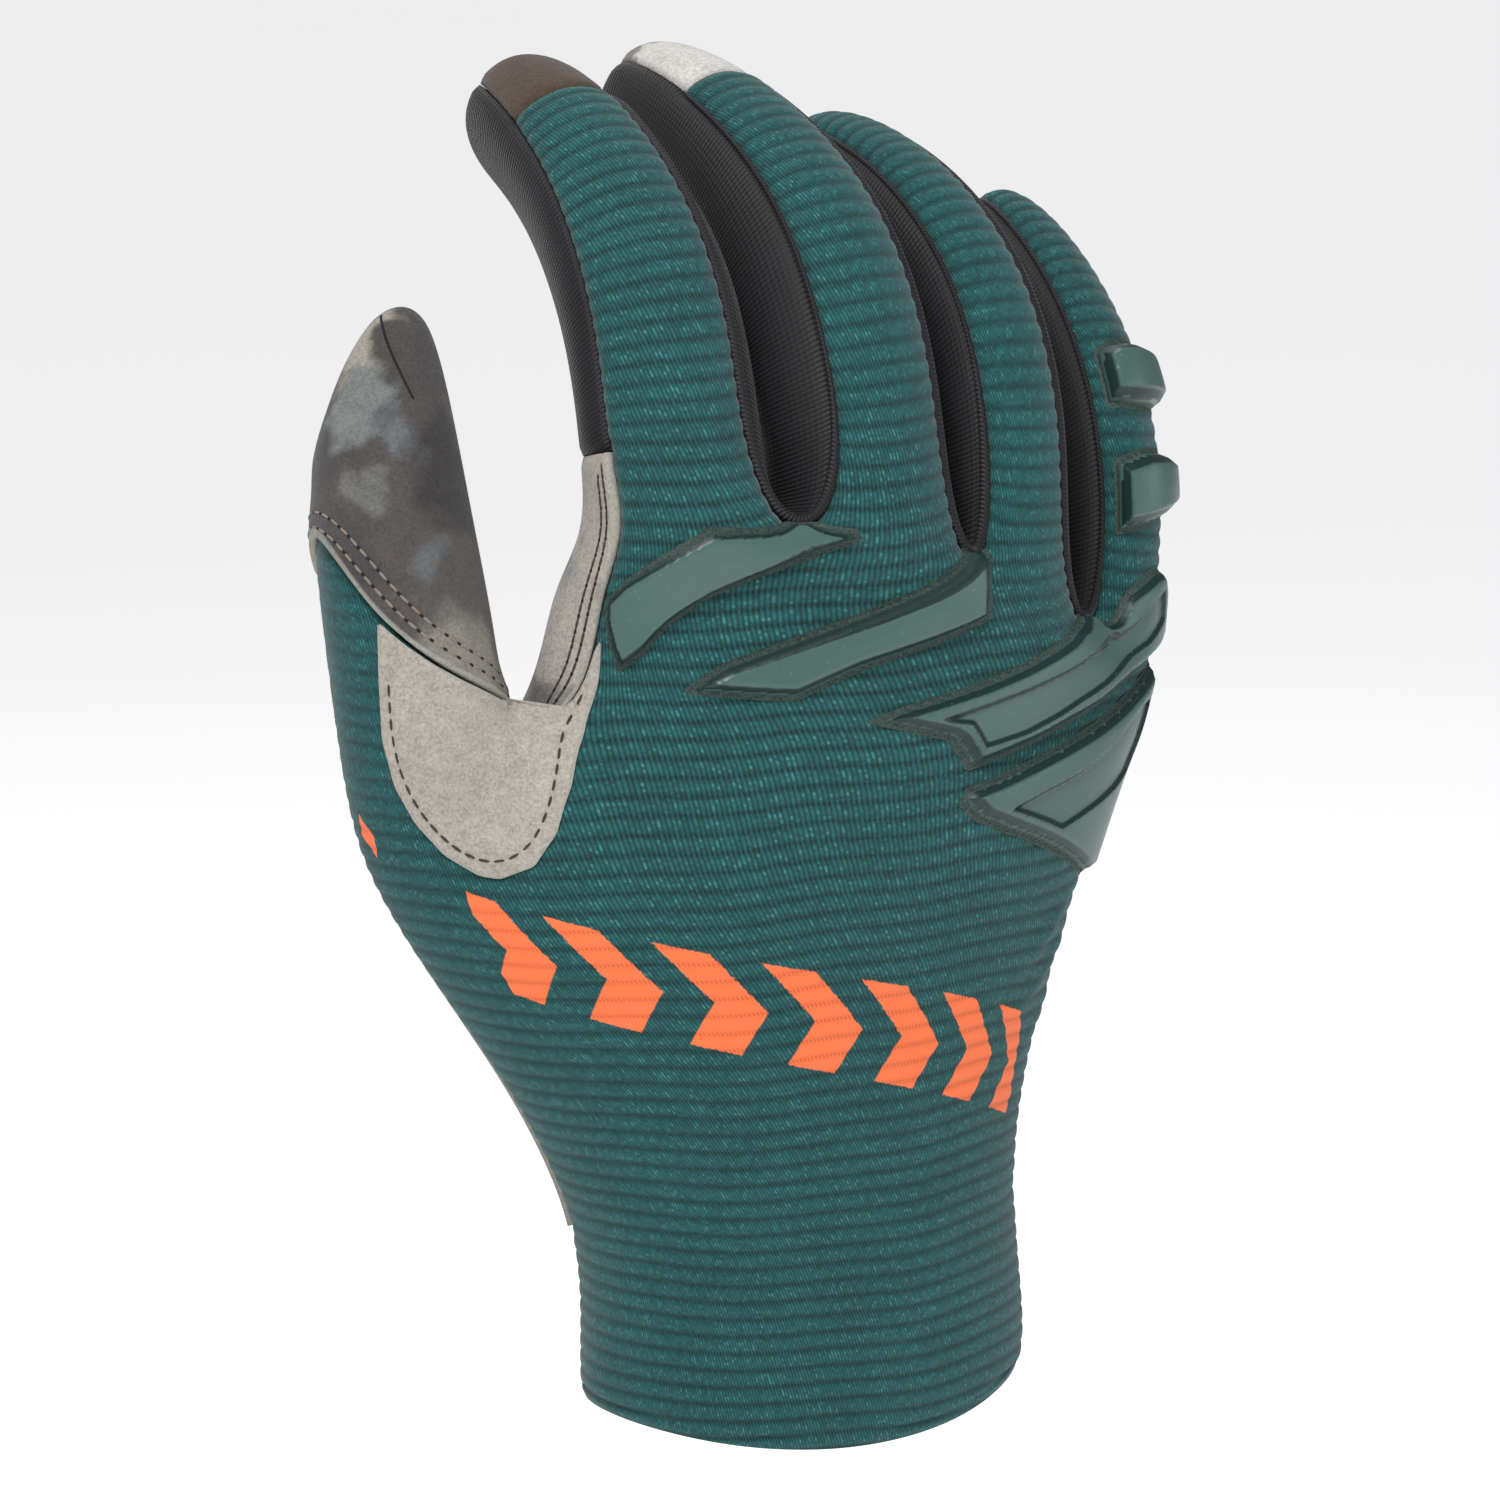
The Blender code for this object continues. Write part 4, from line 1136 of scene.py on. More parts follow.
@dataclass(frozen=True)
class ThreadFinish:
    """Twisted sewing thread, painted darker in the twist's grooves as shade."""

    name: str
    colour: Colour

    def material(self) -> bpy.types.Material:
        """Builds the node tree.

        Returns:
            The material.
        """
        graph = Graph(self.name)
        place = graph.place()
        split = graph.node("ShaderNodeSeparateXYZ", sockets={0: place})
        height = Wire(graph, split.socket.node.outputs[2])
        twist = 0.5 + 0.5 * ((split + height) * (2 * np.pi / (0.5 * MM))).sine()
        fibre = graph.noise(place, 3000.0, 2.0)
        # painted shade in the twist's grooves; the fibre noise is the thread's own tone
        colour = graph.tone(self.colour, 0.65 + 0.3 * twist + 0.3 * fibre)
        return graph.finish(colour, 0.8, graph.bump(twist, 0.08 * MM), Specular_IOR_Level=0.3)


@dataclass
class Shell:
    """A closed mesh before it becomes a piece: points, polygons, pattern corners and stored numbers."""

    name: str
    points: Array
    polygons: list[list[int]]
    corners: Array | None = None
    numbers: dict[str, Array] = field(default_factory=dict)
    crisp: bool = False

    def piece(self, materials: list[bpy.types.Material], slot: str, *nodes: str) -> bpy.types.Object:
        """Makes the object, dresses it and ties it to the frame.

        Args:
            materials: Its material slots.
            slot: Not used.
            nodes: The CAD nodes that it stands for.

        Returns:
            The linked object.
        """
        mesh = bpy.data.meshes.new(self.name)
        mesh.from_pydata(self.points.tolist(), [], self.polygons)
        if self.corners is not None:
            mesh.uv_layers.new(name=PATTERN).data.foreach_set("uv", self.corners.ravel())
        for name, values in self.numbers.items():
            layer = mesh.attributes.new(name, "FLOAT", "POINT")
            layer.data.foreach_set("value", np.asarray(values, np.float32))
        for material in materials:
            mesh.materials.append(material)
        mesh.shade_smooth()
        if self.crisp:
            mesh.set_sharp_from_angle(angle=np.radians(24.0))
        found = linked(self.name, mesh)
        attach(found, "root")
        if nodes:
            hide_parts(*nodes)
        log.info("%s: %d points, %d faces", self.name, len(mesh.vertices), len(mesh.polygons))
        return found


class SeamRule(NamedTuple):
    """How far a panel's edge stands off the skin beside a neighbour, and over what width it eases."""

    lift: float
    width: float


@dataclass
class ClothPanel:
    """A sewn panel: the skin's faces, lifted or sunk along its seams, with a wall behind.

    Attributes:
        skin: The subdivided skin.
        panel: Which panel this is.
        rules: Seam rules by neighbour.
        wall: Thickness.
        gap: Width left clear in each seam.
    """

    skin: Skin
    panel: Panel
    rules: dict[Panel, SeamRule]
    wall: float
    gap: float = 0.10 * MM
    cap_height: float = 160.0 * MM
    DART: ClassVar[tuple[tuple[float, float, float], ...]] = (
        (-60.5, 29.5, 179.0), (-60.5, 24.0, 174.5), (-59.8, 21.5, 171.0), (-58.6, 19.0, 167.0),
        (-57.6, 17.5, 164.5),
    )

    def __post_init__(self) -> None:
        """Collects the panel's faces, its points and its border edges."""
        skin = self.skin
        members = (self.panel, Panel.CAP) if self.panel == Panel.PALM else (self.panel,)
        chosen = np.isin(skin.panels, members)
        self.faces = skin.faces[chosen]
        self.corners = skin.corners[chosen]
        beyond = skin.across_edge[chosen]
        self.used, flat = np.unique(self.faces, return_inverse=True)
        self.local = flat.reshape(-1, 4)
        self.points, self.normals = skin.points[self.used], skin.normals[self.used]
        edge = ~np.isin(beyond, members)
        face, side = np.nonzero(edge)
        self.border = np.stack([self.local[face, side], self.local[face, (side + 1) % 4]], axis=1)
        self.border_beyond = beyond[face, side]
        self.border_face = face
        high = self.corners[face, :, 1].mean(axis=1) > self.cap_height
        if self.panel == Panel.PALM:
            self.border_beyond[high & (self.border_beyond == Panel.BACK)] = Panel.CAP
        inward = np.zeros_like(self.points)
        quad = self.points[self.local[face]]
        normal = np.cross(quad[:, 2] - quad[:, 0], quad[:, 3] - quad[:, 1])
        run = self.points[self.border[:, 1]] - self.points[self.border[:, 0]]
        step = unit(np.cross(normal, run))
        np.add.at(inward, self.border[:, 0], step)
        np.add.at(inward, self.border[:, 1], step)
        self.inward = unit(inward)
        total = np.zeros(len(self.points))
        count = np.zeros(len(self.points))
        np.add.at(total, self.local.ravel(), self.corners[:, :, 1].ravel())
        np.add.at(count, self.local.ravel(), 1)
        self.up = total / count

    def distance_to(self, neighbours: tuple[Panel, ...], points: Array) -> Array:
        """Straight distance from points to the border beside those neighbours.

        Args:
            neighbours: The panels beyond the border.
            points: Points in space, one a row.

        Returns:
            Distances in metres.
        """
        chosen = np.isin(self.border_beyond, neighbours)
        if not chosen.any():
            return np.full(len(points), 1.0)
        rim = self.points[np.unique(self.border[chosen])]
        best = np.full(len(points), np.inf)
        for start in range(0, len(rim), 64):
            part = rim[start:start + 64]
            square = (
                np.sum(points ** 2, axis=1)[:, None] + np.sum(part ** 2, axis=1)[None] - 2 * points @ part.T
            )
            best = np.minimum(best, square.min(axis=1))
        return np.sqrt(np.maximum(best, 0))

    def lift(self, points: Array) -> Array:
        """Sum of each rule's lift times a smooth fall over its width.

        Args:
            points: Points in space, one a row.

        Returns:
            Lift off the skin, in metres.
        """
        total = np.zeros(len(points))
        for neighbour, rule in self.rules.items():
            gap = self.distance_to((neighbour,), points)
            total += rule.lift * (1 - smooth(gap / rule.width))
        return total

    def swell(self, points: Array) -> Array:
        """Bulges away from the seams: the gussets of index and middle finger almost touch.

        Args:
            points: Points in space, one a row.

        Returns:
            Swelling outwards, in metres.
        """
        if self.panel == Panel.GUSSET_INDEX_MIDDLE:
            reach = np.linalg.norm(points - np.array([-6.5, 3.0, 158.0]) * MM, axis=1)
            return 1.0 * MM * np.exp(-(reach / (10 * MM)) ** 2)
        if self.panel == Panel.THUMB:
            gap, _, along = line_distance(points, np.array(self.DART) * MM)
            return -1.3 * MM * np.exp(-(gap / (1.5 * MM)) ** 2) * (1 - 0.6 * along)
        return np.zeros(len(points))

    def surface(self) -> tuple[Array, Array]:
        """Outer points with seams and lifts applied, and the inner wall's points.

        Returns:
            The outer points and the inner ones.
        """
        border = np.unique(self.border)
        moved = self.points + self.normals * self.swell(self.points)[:, None]
        moved[border] += self.inward[border] * self.gap
        outer = moved + self.normals * self.lift(self.points)[:, None]
        inner = moved - self.normals * self.wall
        return outer, inner

    def shell(self, name: str) -> Shell:
        """Outer faces, the same faces set in by the wall, and rims along the border.

        Args:
            name: The piece's name.

        Returns:
            The closed wall.
        """
        outer, inner = self.surface()
        count = len(outer)
        rims = np.stack([
            self.border[:, 1], self.border[:, 0], self.border[:, 0] + count, self.border[:, 1] + count,
        ], axis=1)
        polygons = np.vstack([self.local, self.local[:, ::-1] + count, rims]).tolist()
        rim_uv = np.zeros((len(rims), 4, 2))
        rim_uv[:, :, 1] = self.up[rims % count]
        rim_uv[:, :, 0] = self.corners[self.border_face].mean(axis=1)[:, None, 0]
        corners = np.concatenate([self.corners, self.corners[:, ::-1], rim_uv])
        cut = np.zeros(2 * count)
        raw = np.isin(self.border_beyond, tuple(k for k, rule in self.rules.items() if rule.lift > 0.5 * MM))
        cut[np.unique(self.border[raw])] = 1.0
        return Shell(name, np.vstack([outer, inner]), polygons, corners, {"cut": cut})

    def laid(self, points: Array) -> tuple[Array, Array]:
        """The nearest points on the panel's outer face.

        Args:
            points: Points near it, one a row.

        Returns:
            The points on the face, and the face's normals there.
        """
        outer, _ = self.surface()
        tree = BVHTree.FromPolygons(outer.tolist(), self.local.tolist())
        hits = [tree.find_nearest(Vector(point)) for point in points]
        return np.array([hit[0] for hit in hits]), np.array([hit[1] for hit in hits])

    def chain(self, neighbours: tuple[Panel, ...], low: float = -1.0, most_x: float = 1.0) -> Array:
        """Numbers of the border's points beside those neighbours, in order along the longest run.

        Only points higher on the pattern than low and nearer the thumb than most_x take part.

        Args:
            neighbours: The panels beyond the border.
            low: Least height on the pattern.
            most_x: Greatest x.

        Returns:
            Numbers of the panel's points.
        """
        middle = self.up[self.border].mean(axis=1)
        near_x = self.points[self.border, 0].mean(axis=1)
        chosen = np.isin(self.border_beyond, neighbours) & (middle > low) & (near_x < most_x)
        follow = dict(self.border[chosen].tolist())
        starts = sorted(set(follow) - set(follow.values())) or [min(follow)]
        runs = []
        for start in starts:
            run = [start]
            while run[-1] in follow and (len(run) == 1 or run[-1] != start):
                run.append(follow[run[-1]])
            runs.append(run)
        return np.array(max(runs, key=len))


class Fold(NamedTuple):
    """A fold in the knit: its ends in space, its half width and its height, in millimetres."""

    start: tuple[float, float, float]
    end: tuple[float, float, float]
    width: float
    height: float


@dataclass
class KnitBack(ClothPanel):
    """The back panel, with its ribs raised from a finer skin.

    Attributes:
        FOLDS: Short ridges fanning below the little-finger guards, and creases at the wrist.
        rib_pitch: Distance from rib to rib, up the pattern.
        rib_height: How far a rib stands over the groove.
        split: How many times finer the skin is up the pattern.
    """

    rib_pitch: float = 2.75 * MM
    rib_height: float = 0.24 * MM
    split: int = 4
    FOLDS: ClassVar[tuple[Fold, ...]] = (
        Fold((46, -10, 82), (28, -16, 70), 1.8, 0.8), Fold((46, -6, 76), (26, -18, 62), 1.8, 0.7),
        Fold((44, -4, 68), (30, -15, 56), 1.8, 0.5), Fold((-34, -8, 36), (-10, -24, 30), 2.6, -0.6),
        Fold((38, -6, 34), (12, -25, 31), 2.6, -0.5),
    )

    def turned(self) -> tuple[Array, Array]:
        """Faces and corners turned so that each first edge runs across the pattern.

        Returns:
            The faces and the corners.
        """
        run = np.abs(np.roll(self.corners, -1, axis=1) - self.corners)[:, :, 0]
        sideways = run[:, 1] + run[:, 3] > run[:, 0] + run[:, 2]
        local = np.where(sideways[:, None], np.roll(self.local, -1, axis=1), self.local)
        corners = np.where(sideways[:, None, None], np.roll(self.corners, -1, axis=1), self.corners)
        return local, corners

    def rib(self, up: Array, points: Array) -> Array:
        """Rib height from 0 to 1: a rounded ridge, 1 less the fourth power of the groove's nearness.

        The rows drift a little, by a sum of slow sines of the place across the hand.

        Args:
            up: Heights on the pattern.
            points: Points in space, one a row.

        Returns:
            0 in a groove, 1 on a rib.
        """
        drift = 0.10 * np.sin(points[:, 0] * 210.0) + 0.08 * np.sin(points[:, 0] * 95.0 + up * 60.0)
        phase = up / self.rib_pitch + drift
        return 1 - np.abs(np.cos(np.pi * phase)) ** 4

    def folds(self, points: Array) -> Array:
        """Height of the folds: a bell across each fold, faded to its ends by half a sine.

        Args:
            points: Points in space, one a row.

        Returns:
            Height in metres.
        """
        total = np.zeros(len(points))
        for start, end, width, height in self.FOLDS:
            a, b = np.array(start) * MM, np.array(end) * MM
            share = np.clip((points - a) @ (b - a) / np.sum((b - a) ** 2), 0, 1)
            gap = np.linalg.norm(points - a - share[:, None] * (b - a), axis=1)
            fade = np.sin(np.pi * np.clip(share, 0.02, 0.98))
            total += height * MM * np.exp(-(gap / (width * MM)) ** 2) * fade
        return total

    def shell(self, name: str) -> Shell:
        """The wall as for any panel, with each outer face cut in strips up the pattern.

        A new point on an edge is the straight one, moved three quarters of the way to the mean of its
        projections on the end points' tangent planes.

        Args:
            name: The piece's name.

        Returns:
            The closed wall.
        """
        local, corners = self.turned()
        outer, inner = self.surface()
        count, split = len(outer), self.split
        pairs = np.vstack([local[:, [0, 3]], local[:, [1, 2]]])
        ends, edge = np.unique(np.sort(pairs, axis=1), axis=0, return_inverse=True)
        edge = edge.ravel()
        shares = np.arange(1, split) / split
        a, b = outer[ends[:, 0]], outer[ends[:, 1]]
        na, nb = self.normals[ends[:, 0]], self.normals[ends[:, 1]]
        share = shares[None, :, None]
        straight = a[:, None] * (1 - share) + b[:, None] * share
        on_a = straight - np.sum((straight - a[:, None]) * na[:, None], axis=2, keepdims=True) * na[:, None]
        on_b = straight - np.sum((straight - b[:, None]) * nb[:, None], axis=2, keepdims=True) * nb[:, None]
        curved = straight + 0.75 * (on_a * (1 - share) + on_b * share - straight)
        extra = curved.reshape(-1, 3)
        extra_up = (self.up[ends[:, :1]] * (1 - shares) + self.up[ends[:, 1:]] * shares).ravel()
        extra_normal = unit(na[:, None] * (1 - share) + nb[:, None] * share).reshape(-1, 3)
        points = np.vstack([outer, extra])
        normals = np.vstack([self.normals, extra_normal])
        up = np.concatenate([self.up, extra_up])
        rib = self.rib(up, points)
        near = self.distance_to((Panel.THUMB, Panel.PALM, Panel.OUTSIDE), points)
        relief = rib * self.rib_height * smooth(near / (1.5 * MM)) + self.folds(points)
        hem = self.distance_to((Panel.OUTSIDE,), points)
        relief -= 0.30 * MM * np.exp(-((hem - 2.0 * MM) / (0.5 * MM)) ** 2)
        points = points + normals * relief[:, None]

        first = count + edge * (split - 1)
        forward = pairs[:, 0] == ends[edge, 0]
        steps = np.arange(split - 1)
        middle = first[:, None] + np.where(forward[:, None], steps, split - 2 - steps)
        columns = np.hstack([pairs[:, :1], middle, pairs[:, 1:]])
        left, right = columns[:len(local)], columns[len(local):]
        strips = np.stack([left[:, :-1], right[:, :-1], right[:, 1:], left[:, 1:]], axis=2).reshape(-1, 4)
        rows = np.arange(split + 1)[None, :, None] / split
        left_uv = corners[:, None, 0] * (1 - rows) + corners[:, None, 3] * rows
        right_uv = corners[:, None, 1] * (1 - rows) + corners[:, None, 2] * rows
        strip_uv = np.stack([left_uv[:, :-1], right_uv[:, :-1], right_uv[:, 1:], left_uv[:, 1:]], axis=2)
        strip_uv = strip_uv.reshape(-1, 2)

        base = len(points)
        table = {tuple(pair): number for number, pair in enumerate(ends.tolist())}
        rims, rim_uv = [], []
        for (start, end), face in zip(self.border.tolist(), self.border_face.tolist()):
            number = table.get((min(start, end), max(start, end)))
            at = 0 if number is None else count + number * (split - 1)
            between = [] if number is None else list(range(at, at + split - 1))
            if start < end:
                between.reverse()
            rims.append([end, *between, start, base + start, base + end])
            rim_uv += [(self.corners[face, 0, 0], up[i] if i < base else self.up[i - base]) for i in rims[-1]]
        polygons = strips.tolist() + (self.local[:, ::-1] + base).tolist() + rims
        uv = np.vstack([strip_uv, self.corners[:, ::-1].reshape(-1, 2), np.array(rim_uv)])
        stored = np.concatenate([rib, np.full(count, 0.5)])
        return Shell(name, np.vstack([points, inner]), polygons, uv, {"rib": stored})


def line_distance(points: Array, line: Array, closed: bool = False) -> tuple[Array, Array, Array]:
    """Distance from points to a line, on a plane or in space: the least over its straight parts.

    Args:
        points: Points, one a row.
        line: Points of the line.
        closed: Whether its ends join.

    Returns:
        Distances, the nearest points on the line, and their shares of the line from 0 to 1.
    """
    ends = np.roll(line, -1, axis=0) if closed else line[1:]
    best, along, nearest = np.full(len(points), np.inf), np.zeros(len(points)), np.zeros_like(points)
    for k, (a, b) in enumerate(zip(line, ends)):
        share = np.clip((points - a) @ (b - a) / max(np.sum((b - a) ** 2), 1e-18), 0, 1)
        place = a + share[:, None] * (b - a)
        gap = np.linalg.norm(points - place, axis=1)
        closer = gap < best
        best[closer], nearest[closer] = gap[closer], place[closer]
        along[closer] = ((k + share) / len(ends))[closer]
    return best, nearest, along


def inside(places: Array, outline: Array) -> Array:
    """Whether places lie in an outline, by counting the edges a ray to the right crosses.

    Args:
        places: Places on a plane.
        outline: A closed line's points.

    Returns:
        True for each place within.
    """
    crossings = np.zeros(len(places), int)
    for a, b in zip(outline, np.roll(outline, -1, axis=0)):
        if a[1] == b[1]:
            continue
        spans = (a[1] > places[:, 1]) != (b[1] > places[:, 1])
        crossings += spans & (places[:, 0] < a[0] + (places[:, 1] - a[1]) * (b[0] - a[0]) / (b[1] - a[1]))
    return crossings % 2 == 1


class Bevel(NamedTuple):
    """A long bevel past a ridge line: its points, its fall, and how far it runs."""

    ridge: Outline
    fall: float
    reach: float


@dataclass
class LaidPiece:
    """A flat-cut piece on the back: a height field over the pattern, closed by an underside.

    The height follows the distance from the outline through a table of knots, falls past each bevel's
    ridge, and sinks inside each recess.  All lengths are millimetres on the pattern.
    """

    name: str
    outline: Outline
    knots: Outline
    snap: tuple[float, ...]
    bevels: tuple[Bevel, ...] = ()
    recess: Outline = ()
    recess_depth: float = 0.7
    recess_wall: float = 0.8
    crown: float = 0.0
    cell: float = 0.42
    sink: float = 0.35

    def field(self, places: Array) -> tuple[Array, Array]:
        """Signed distance inside the outline, and the nearest outline point."""
        gap, nearest, _ = line_distance(places, self.line, closed=True)
        return np.where(inside(places, self.line), gap, -gap), nearest

    def past(self, places: Array, bevel: Bevel) -> Array:
        """How far places lie past a ridge, on the ridge's left side; negative before it.

        Args:
            places: Places on the pattern.
            bevel: The bevel.

        Returns:
            Distances, in millimetres.
        """
        ridge = np.array(bevel.ridge)
        best, side = np.full(len(places), np.inf), np.zeros(len(places))
        for a, b in zip(ridge[:-1], ridge[1:]):
            run = b - a
            share = np.clip((places - a) @ run / np.sum(run ** 2), 0, 1)
            away = np.linalg.norm(places - a - share[:, None] * run, axis=1)
            cross = run[0] * (places[:, 1] - a[1]) - run[1] * (places[:, 0] - a[0])
            closer = away < best
            best[closer], side[closer] = away[closer], np.sign(cross[closer])
        return best * side

    def height(self, places: Array, depth: Array) -> tuple[Array, Array]:
        """Height over the skin, and the mask of painted shade that darkens slopes, bevels and recess walls.

        Args:
            places: Places on the pattern.
            depth: Depth of each inside the outline.

        Returns:
            Heights in millimetres, and the mask from 0 to 1.
        """
        steps = np.array(self.knots)
        high = np.interp(depth, steps[:, 0], steps[:, 1])
        top = steps[-1, 1]
        # the mask of painted shade: high where the height falls below the top
        slope_shade = smooth((top - high) / (0.35 * top)) * (depth > self.snap[-1] * 0.5 if self.snap else 0)
        high = high + self.crown * smooth((depth - steps[-1, 0]) / 6.0)
        for bevel in self.bevels:
            past = self.past(places, bevel)
            fall = bevel.fall * np.clip(past / bevel.reach, 0, 1)
            high = np.minimum(high, top + self.crown - fall)
            slope_shade = np.maximum(slope_shade, smooth((past + 0.1) / 0.35))
        if self.recess:
            line = np.array(self.recess)
            gap, *_ = line_distance(places, line, closed=True)
            gap = np.where(inside(places, line), gap, -gap)
            sunk = smooth((gap + self.recess_wall / 2) / self.recess_wall)
            high = high - self.recess_depth * sunk
            slope_shade = np.maximum(slope_shade, 0.85 * smooth(1 - np.abs(gap) / (0.75 * self.recess_wall)))
        return high, slope_shade

    def shell(self, pattern: PatternMap) -> Shell:
        """Grid over the outline, drawn onto outline and ridges, with a side and an underside.

        Args:
            pattern: The back's map.

        Returns:
            The closed piece.
        """
        outline = np.array(self.outline)
        turn = np.roll(outline, -1, axis=0)
        if np.sum(outline[:, 0] * turn[:, 1] - turn[:, 0] * outline[:, 1]) < 0:
            outline = outline[::-1]
        self.line = rounded(outline)
        low, high = self.line.min(axis=0) - self.cell, self.line.max(axis=0) + self.cell
        xs, ys = (np.arange(low[axis], high[axis] + self.cell, self.cell) for axis in (0, 1))
        grid = np.stack(np.meshgrid(xs, ys, indexing="ij"), axis=-1)
        places = grid.reshape(-1, 2)
        depth, nearest = self.field(places)
        away = unit(places - nearest) * np.sign(depth)[:, None]
        edge = np.abs(depth) < 0.56 * self.cell
        places[edge], depth[edge] = nearest[edge], 0.0
        for level in self.snap:
            near = (np.abs(depth - level) < 0.5 * self.cell) & ~edge
            places[near] += away[near] * (level - depth[near])[:, None]
            depth[near] = level
        for bevel in self.bevels:
            past = self.past(places, bevel)
            near = (np.abs(past) < 0.5 * self.cell) & (depth > self.cell)
            _, target, _ = line_distance(places[near], np.array(bevel.ridge))
            places[near] = target
            depth[near] = self.field(target)[0]
        keep = depth >= 0
        number = np.arange(len(places)).reshape(len(xs), len(ys))
        cells = np.stack([number[:-1, :-1], number[1:, :-1], number[1:, 1:], number[:-1, 1:]], axis=-1)
        cells = cells.reshape(-1, 4)
        kept = keep[cells]
        quads, three = cells[kept.all(axis=1)], cells[kept.sum(axis=1) == 3]
        lost = np.argmin(keep[three], axis=1)
        trio = np.stack([three[np.arange(len(three)), (lost + k) % 4] for k in (1, 2, 3)], axis=1)
        flat_ids = np.unique(np.concatenate([quads.ravel(), trio.ravel()]))
        count = len(flat_ids)
        place = np.full(len(places), -1)
        place[flat_ids] = np.arange(count)
        faces = place[quads].tolist() + place[trio].tolist()
        directed = {(a, b) for face in faces for a, b in zip(face, face[1:] + face[:1])}
        border = [(a, b) for a, b in directed if (b, a) not in directed]
        kept_places, kept_depth = places[flat_ids], depth[flat_ids]
        high, slope_shade = self.height(kept_places, kept_depth)
        points, normals = pattern.find(kept_places * MM)
        top = points + normals * (high * MM)[:, None]
        under = points - normals * self.sink * MM
        under_faces = [[i + count for i in reversed(face)] for face in faces]
        sides = [[b, a, a + count, b + count] for a, b in border]
        everything = faces + under_faces + sides
        order = np.concatenate([np.array(face) for face in everything])
        uv = np.vstack([kept_places, kept_places])[order] * MM
        numbers = {
            "edge": np.concatenate([kept_depth, np.zeros(count)]),
            "slope_shade": np.concatenate([slope_shade, np.ones(count)]),
            "cut": np.concatenate([(kept_depth < 0.3).astype(float), np.ones(count)]),
        }
        return Shell(self.name, np.vstack([top, under]), everything, uv, numbers, crisp=True)


def rounded(outline: Array, cut: float = 0.12) -> Array:
    """The outline with each corner cut once, a share of the shorter edge and at most 0.5 mm back.

    Args:
        outline: A closed line's points.
        cut: The share of an edge cut off.

    Returns:
        Twice as many points.
    """
    before, after = np.roll(outline, 1, axis=0) - outline, np.roll(outline, -1, axis=0) - outline
    size_before, size_after = (np.linalg.norm(run, axis=1, keepdims=True) for run in (before, after))
    back = np.minimum(np.minimum(size_before, size_after) * cut, 0.5)
    first, second = outline + before / size_before * back, outline + after / size_after * back
    return np.stack([first, second], axis=1).reshape(-1, 2)


def resampled(line: Array, pitch: float) -> Array:
    """Points at an even pitch along a line; columns after the third are carried along.

    Args:
        line: Points, with more columns if need be.
        pitch: The step aimed at.

    Returns:
        The new points.
    """
    run = np.concatenate([[0], np.cumsum(np.linalg.norm(np.diff(line[:, :3], axis=0), axis=1))])
    count = max(2, int(round(run[-1] / pitch)) + 1)
    places = np.linspace(0, run[-1], count)
    return np.stack([np.interp(places, run, line[:, axis]) for axis in range(line.shape[1])], axis=1)


def relaxed(line: Array, rounds: int) -> Array:
    """The line with each inner point drawn to the mean of itself and its neighbours.

    Args:
        line: The line's points.
        rounds: How many times.

    Returns:
        As many points.
    """
    for _ in range(rounds):
        line = np.vstack([line[:1], (line[:-2] + 2 * line[1:-1] + line[2:]) / 4, line[-1:]])
    return line


@dataclass
class Stitches:
    """Lockstitches as small flattened capsules along a line that lies on the cloth."""

    pitch: float = 2.4 * MM
    length: float = 1.75 * MM
    width: float = 0.22 * MM
    height: float = 0.20 * MM

    def shape(self) -> tuple[Array, Array]:
        """A capsule of 8 by 5 points: radius is the root of the sine along its length.

        Returns:
            Its points and its quads.
        """
        along = np.linspace(0.06, 0.94, 5) * np.pi
        turn = np.arange(8) / 8 * 2 * np.pi
        radius = np.sqrt(np.sin(along))[:, None]
        x = np.broadcast_to(-np.cos(along)[:, None] * self.length / 2, (5, 8))
        body = np.stack([x, radius * np.cos(turn) * self.width, radius * np.sin(turn) * self.height], axis=-1)
        ring = np.arange(8)
        quads = [
            np.stack([low + ring, low + (ring + 1) % 8, low + 8 + (ring + 1) % 8, low + 8 + ring], axis=1)
            for low in range(0, 32, 8)
        ]
        return body.reshape(-1, 3), np.vstack(quads)[:, ::-1]

    def shell(self, name: str, lines: list[tuple[Array, Array]]) -> Shell:
        """Copies of the capsule, one for each step of each line of points and normals.

        Args:
            name: The piece's name.
            lines: Each line's points and normals.

        Returns:
            All stitches as one mesh.
        """
        body, quads = self.shape()
        points, faces = [], []
        total = 0
        for line, normals in lines:
            centre = (line[1:] + line[:-1]) / 2
            ahead = unit(line[1:] - line[:-1])
            up = unit(normals[1:] + normals[:-1])
            side = unit(np.cross(up, ahead))
            up = np.cross(ahead, side)
            frames = np.stack([ahead, side, up], axis=1)
            placed = centre[:, None] + np.einsum("pk,nkj->npj", body, frames)
            numbers = np.arange(len(centre))[:, None, None] * len(body) + total
            points.append(placed.reshape(-1, 3))
            faces.append((quads[None] + numbers).reshape(-1, 4))
            caps = np.arange(8)
            ends = np.stack([caps, caps[::-1] + 32])
            faces.append((ends[None] + numbers).reshape(-1, 8))
            total += placed.shape[0] * placed.shape[1]
        polygons = [face for group in faces for face in group.tolist()]
        return Shell(name, np.vstack(points), polygons)


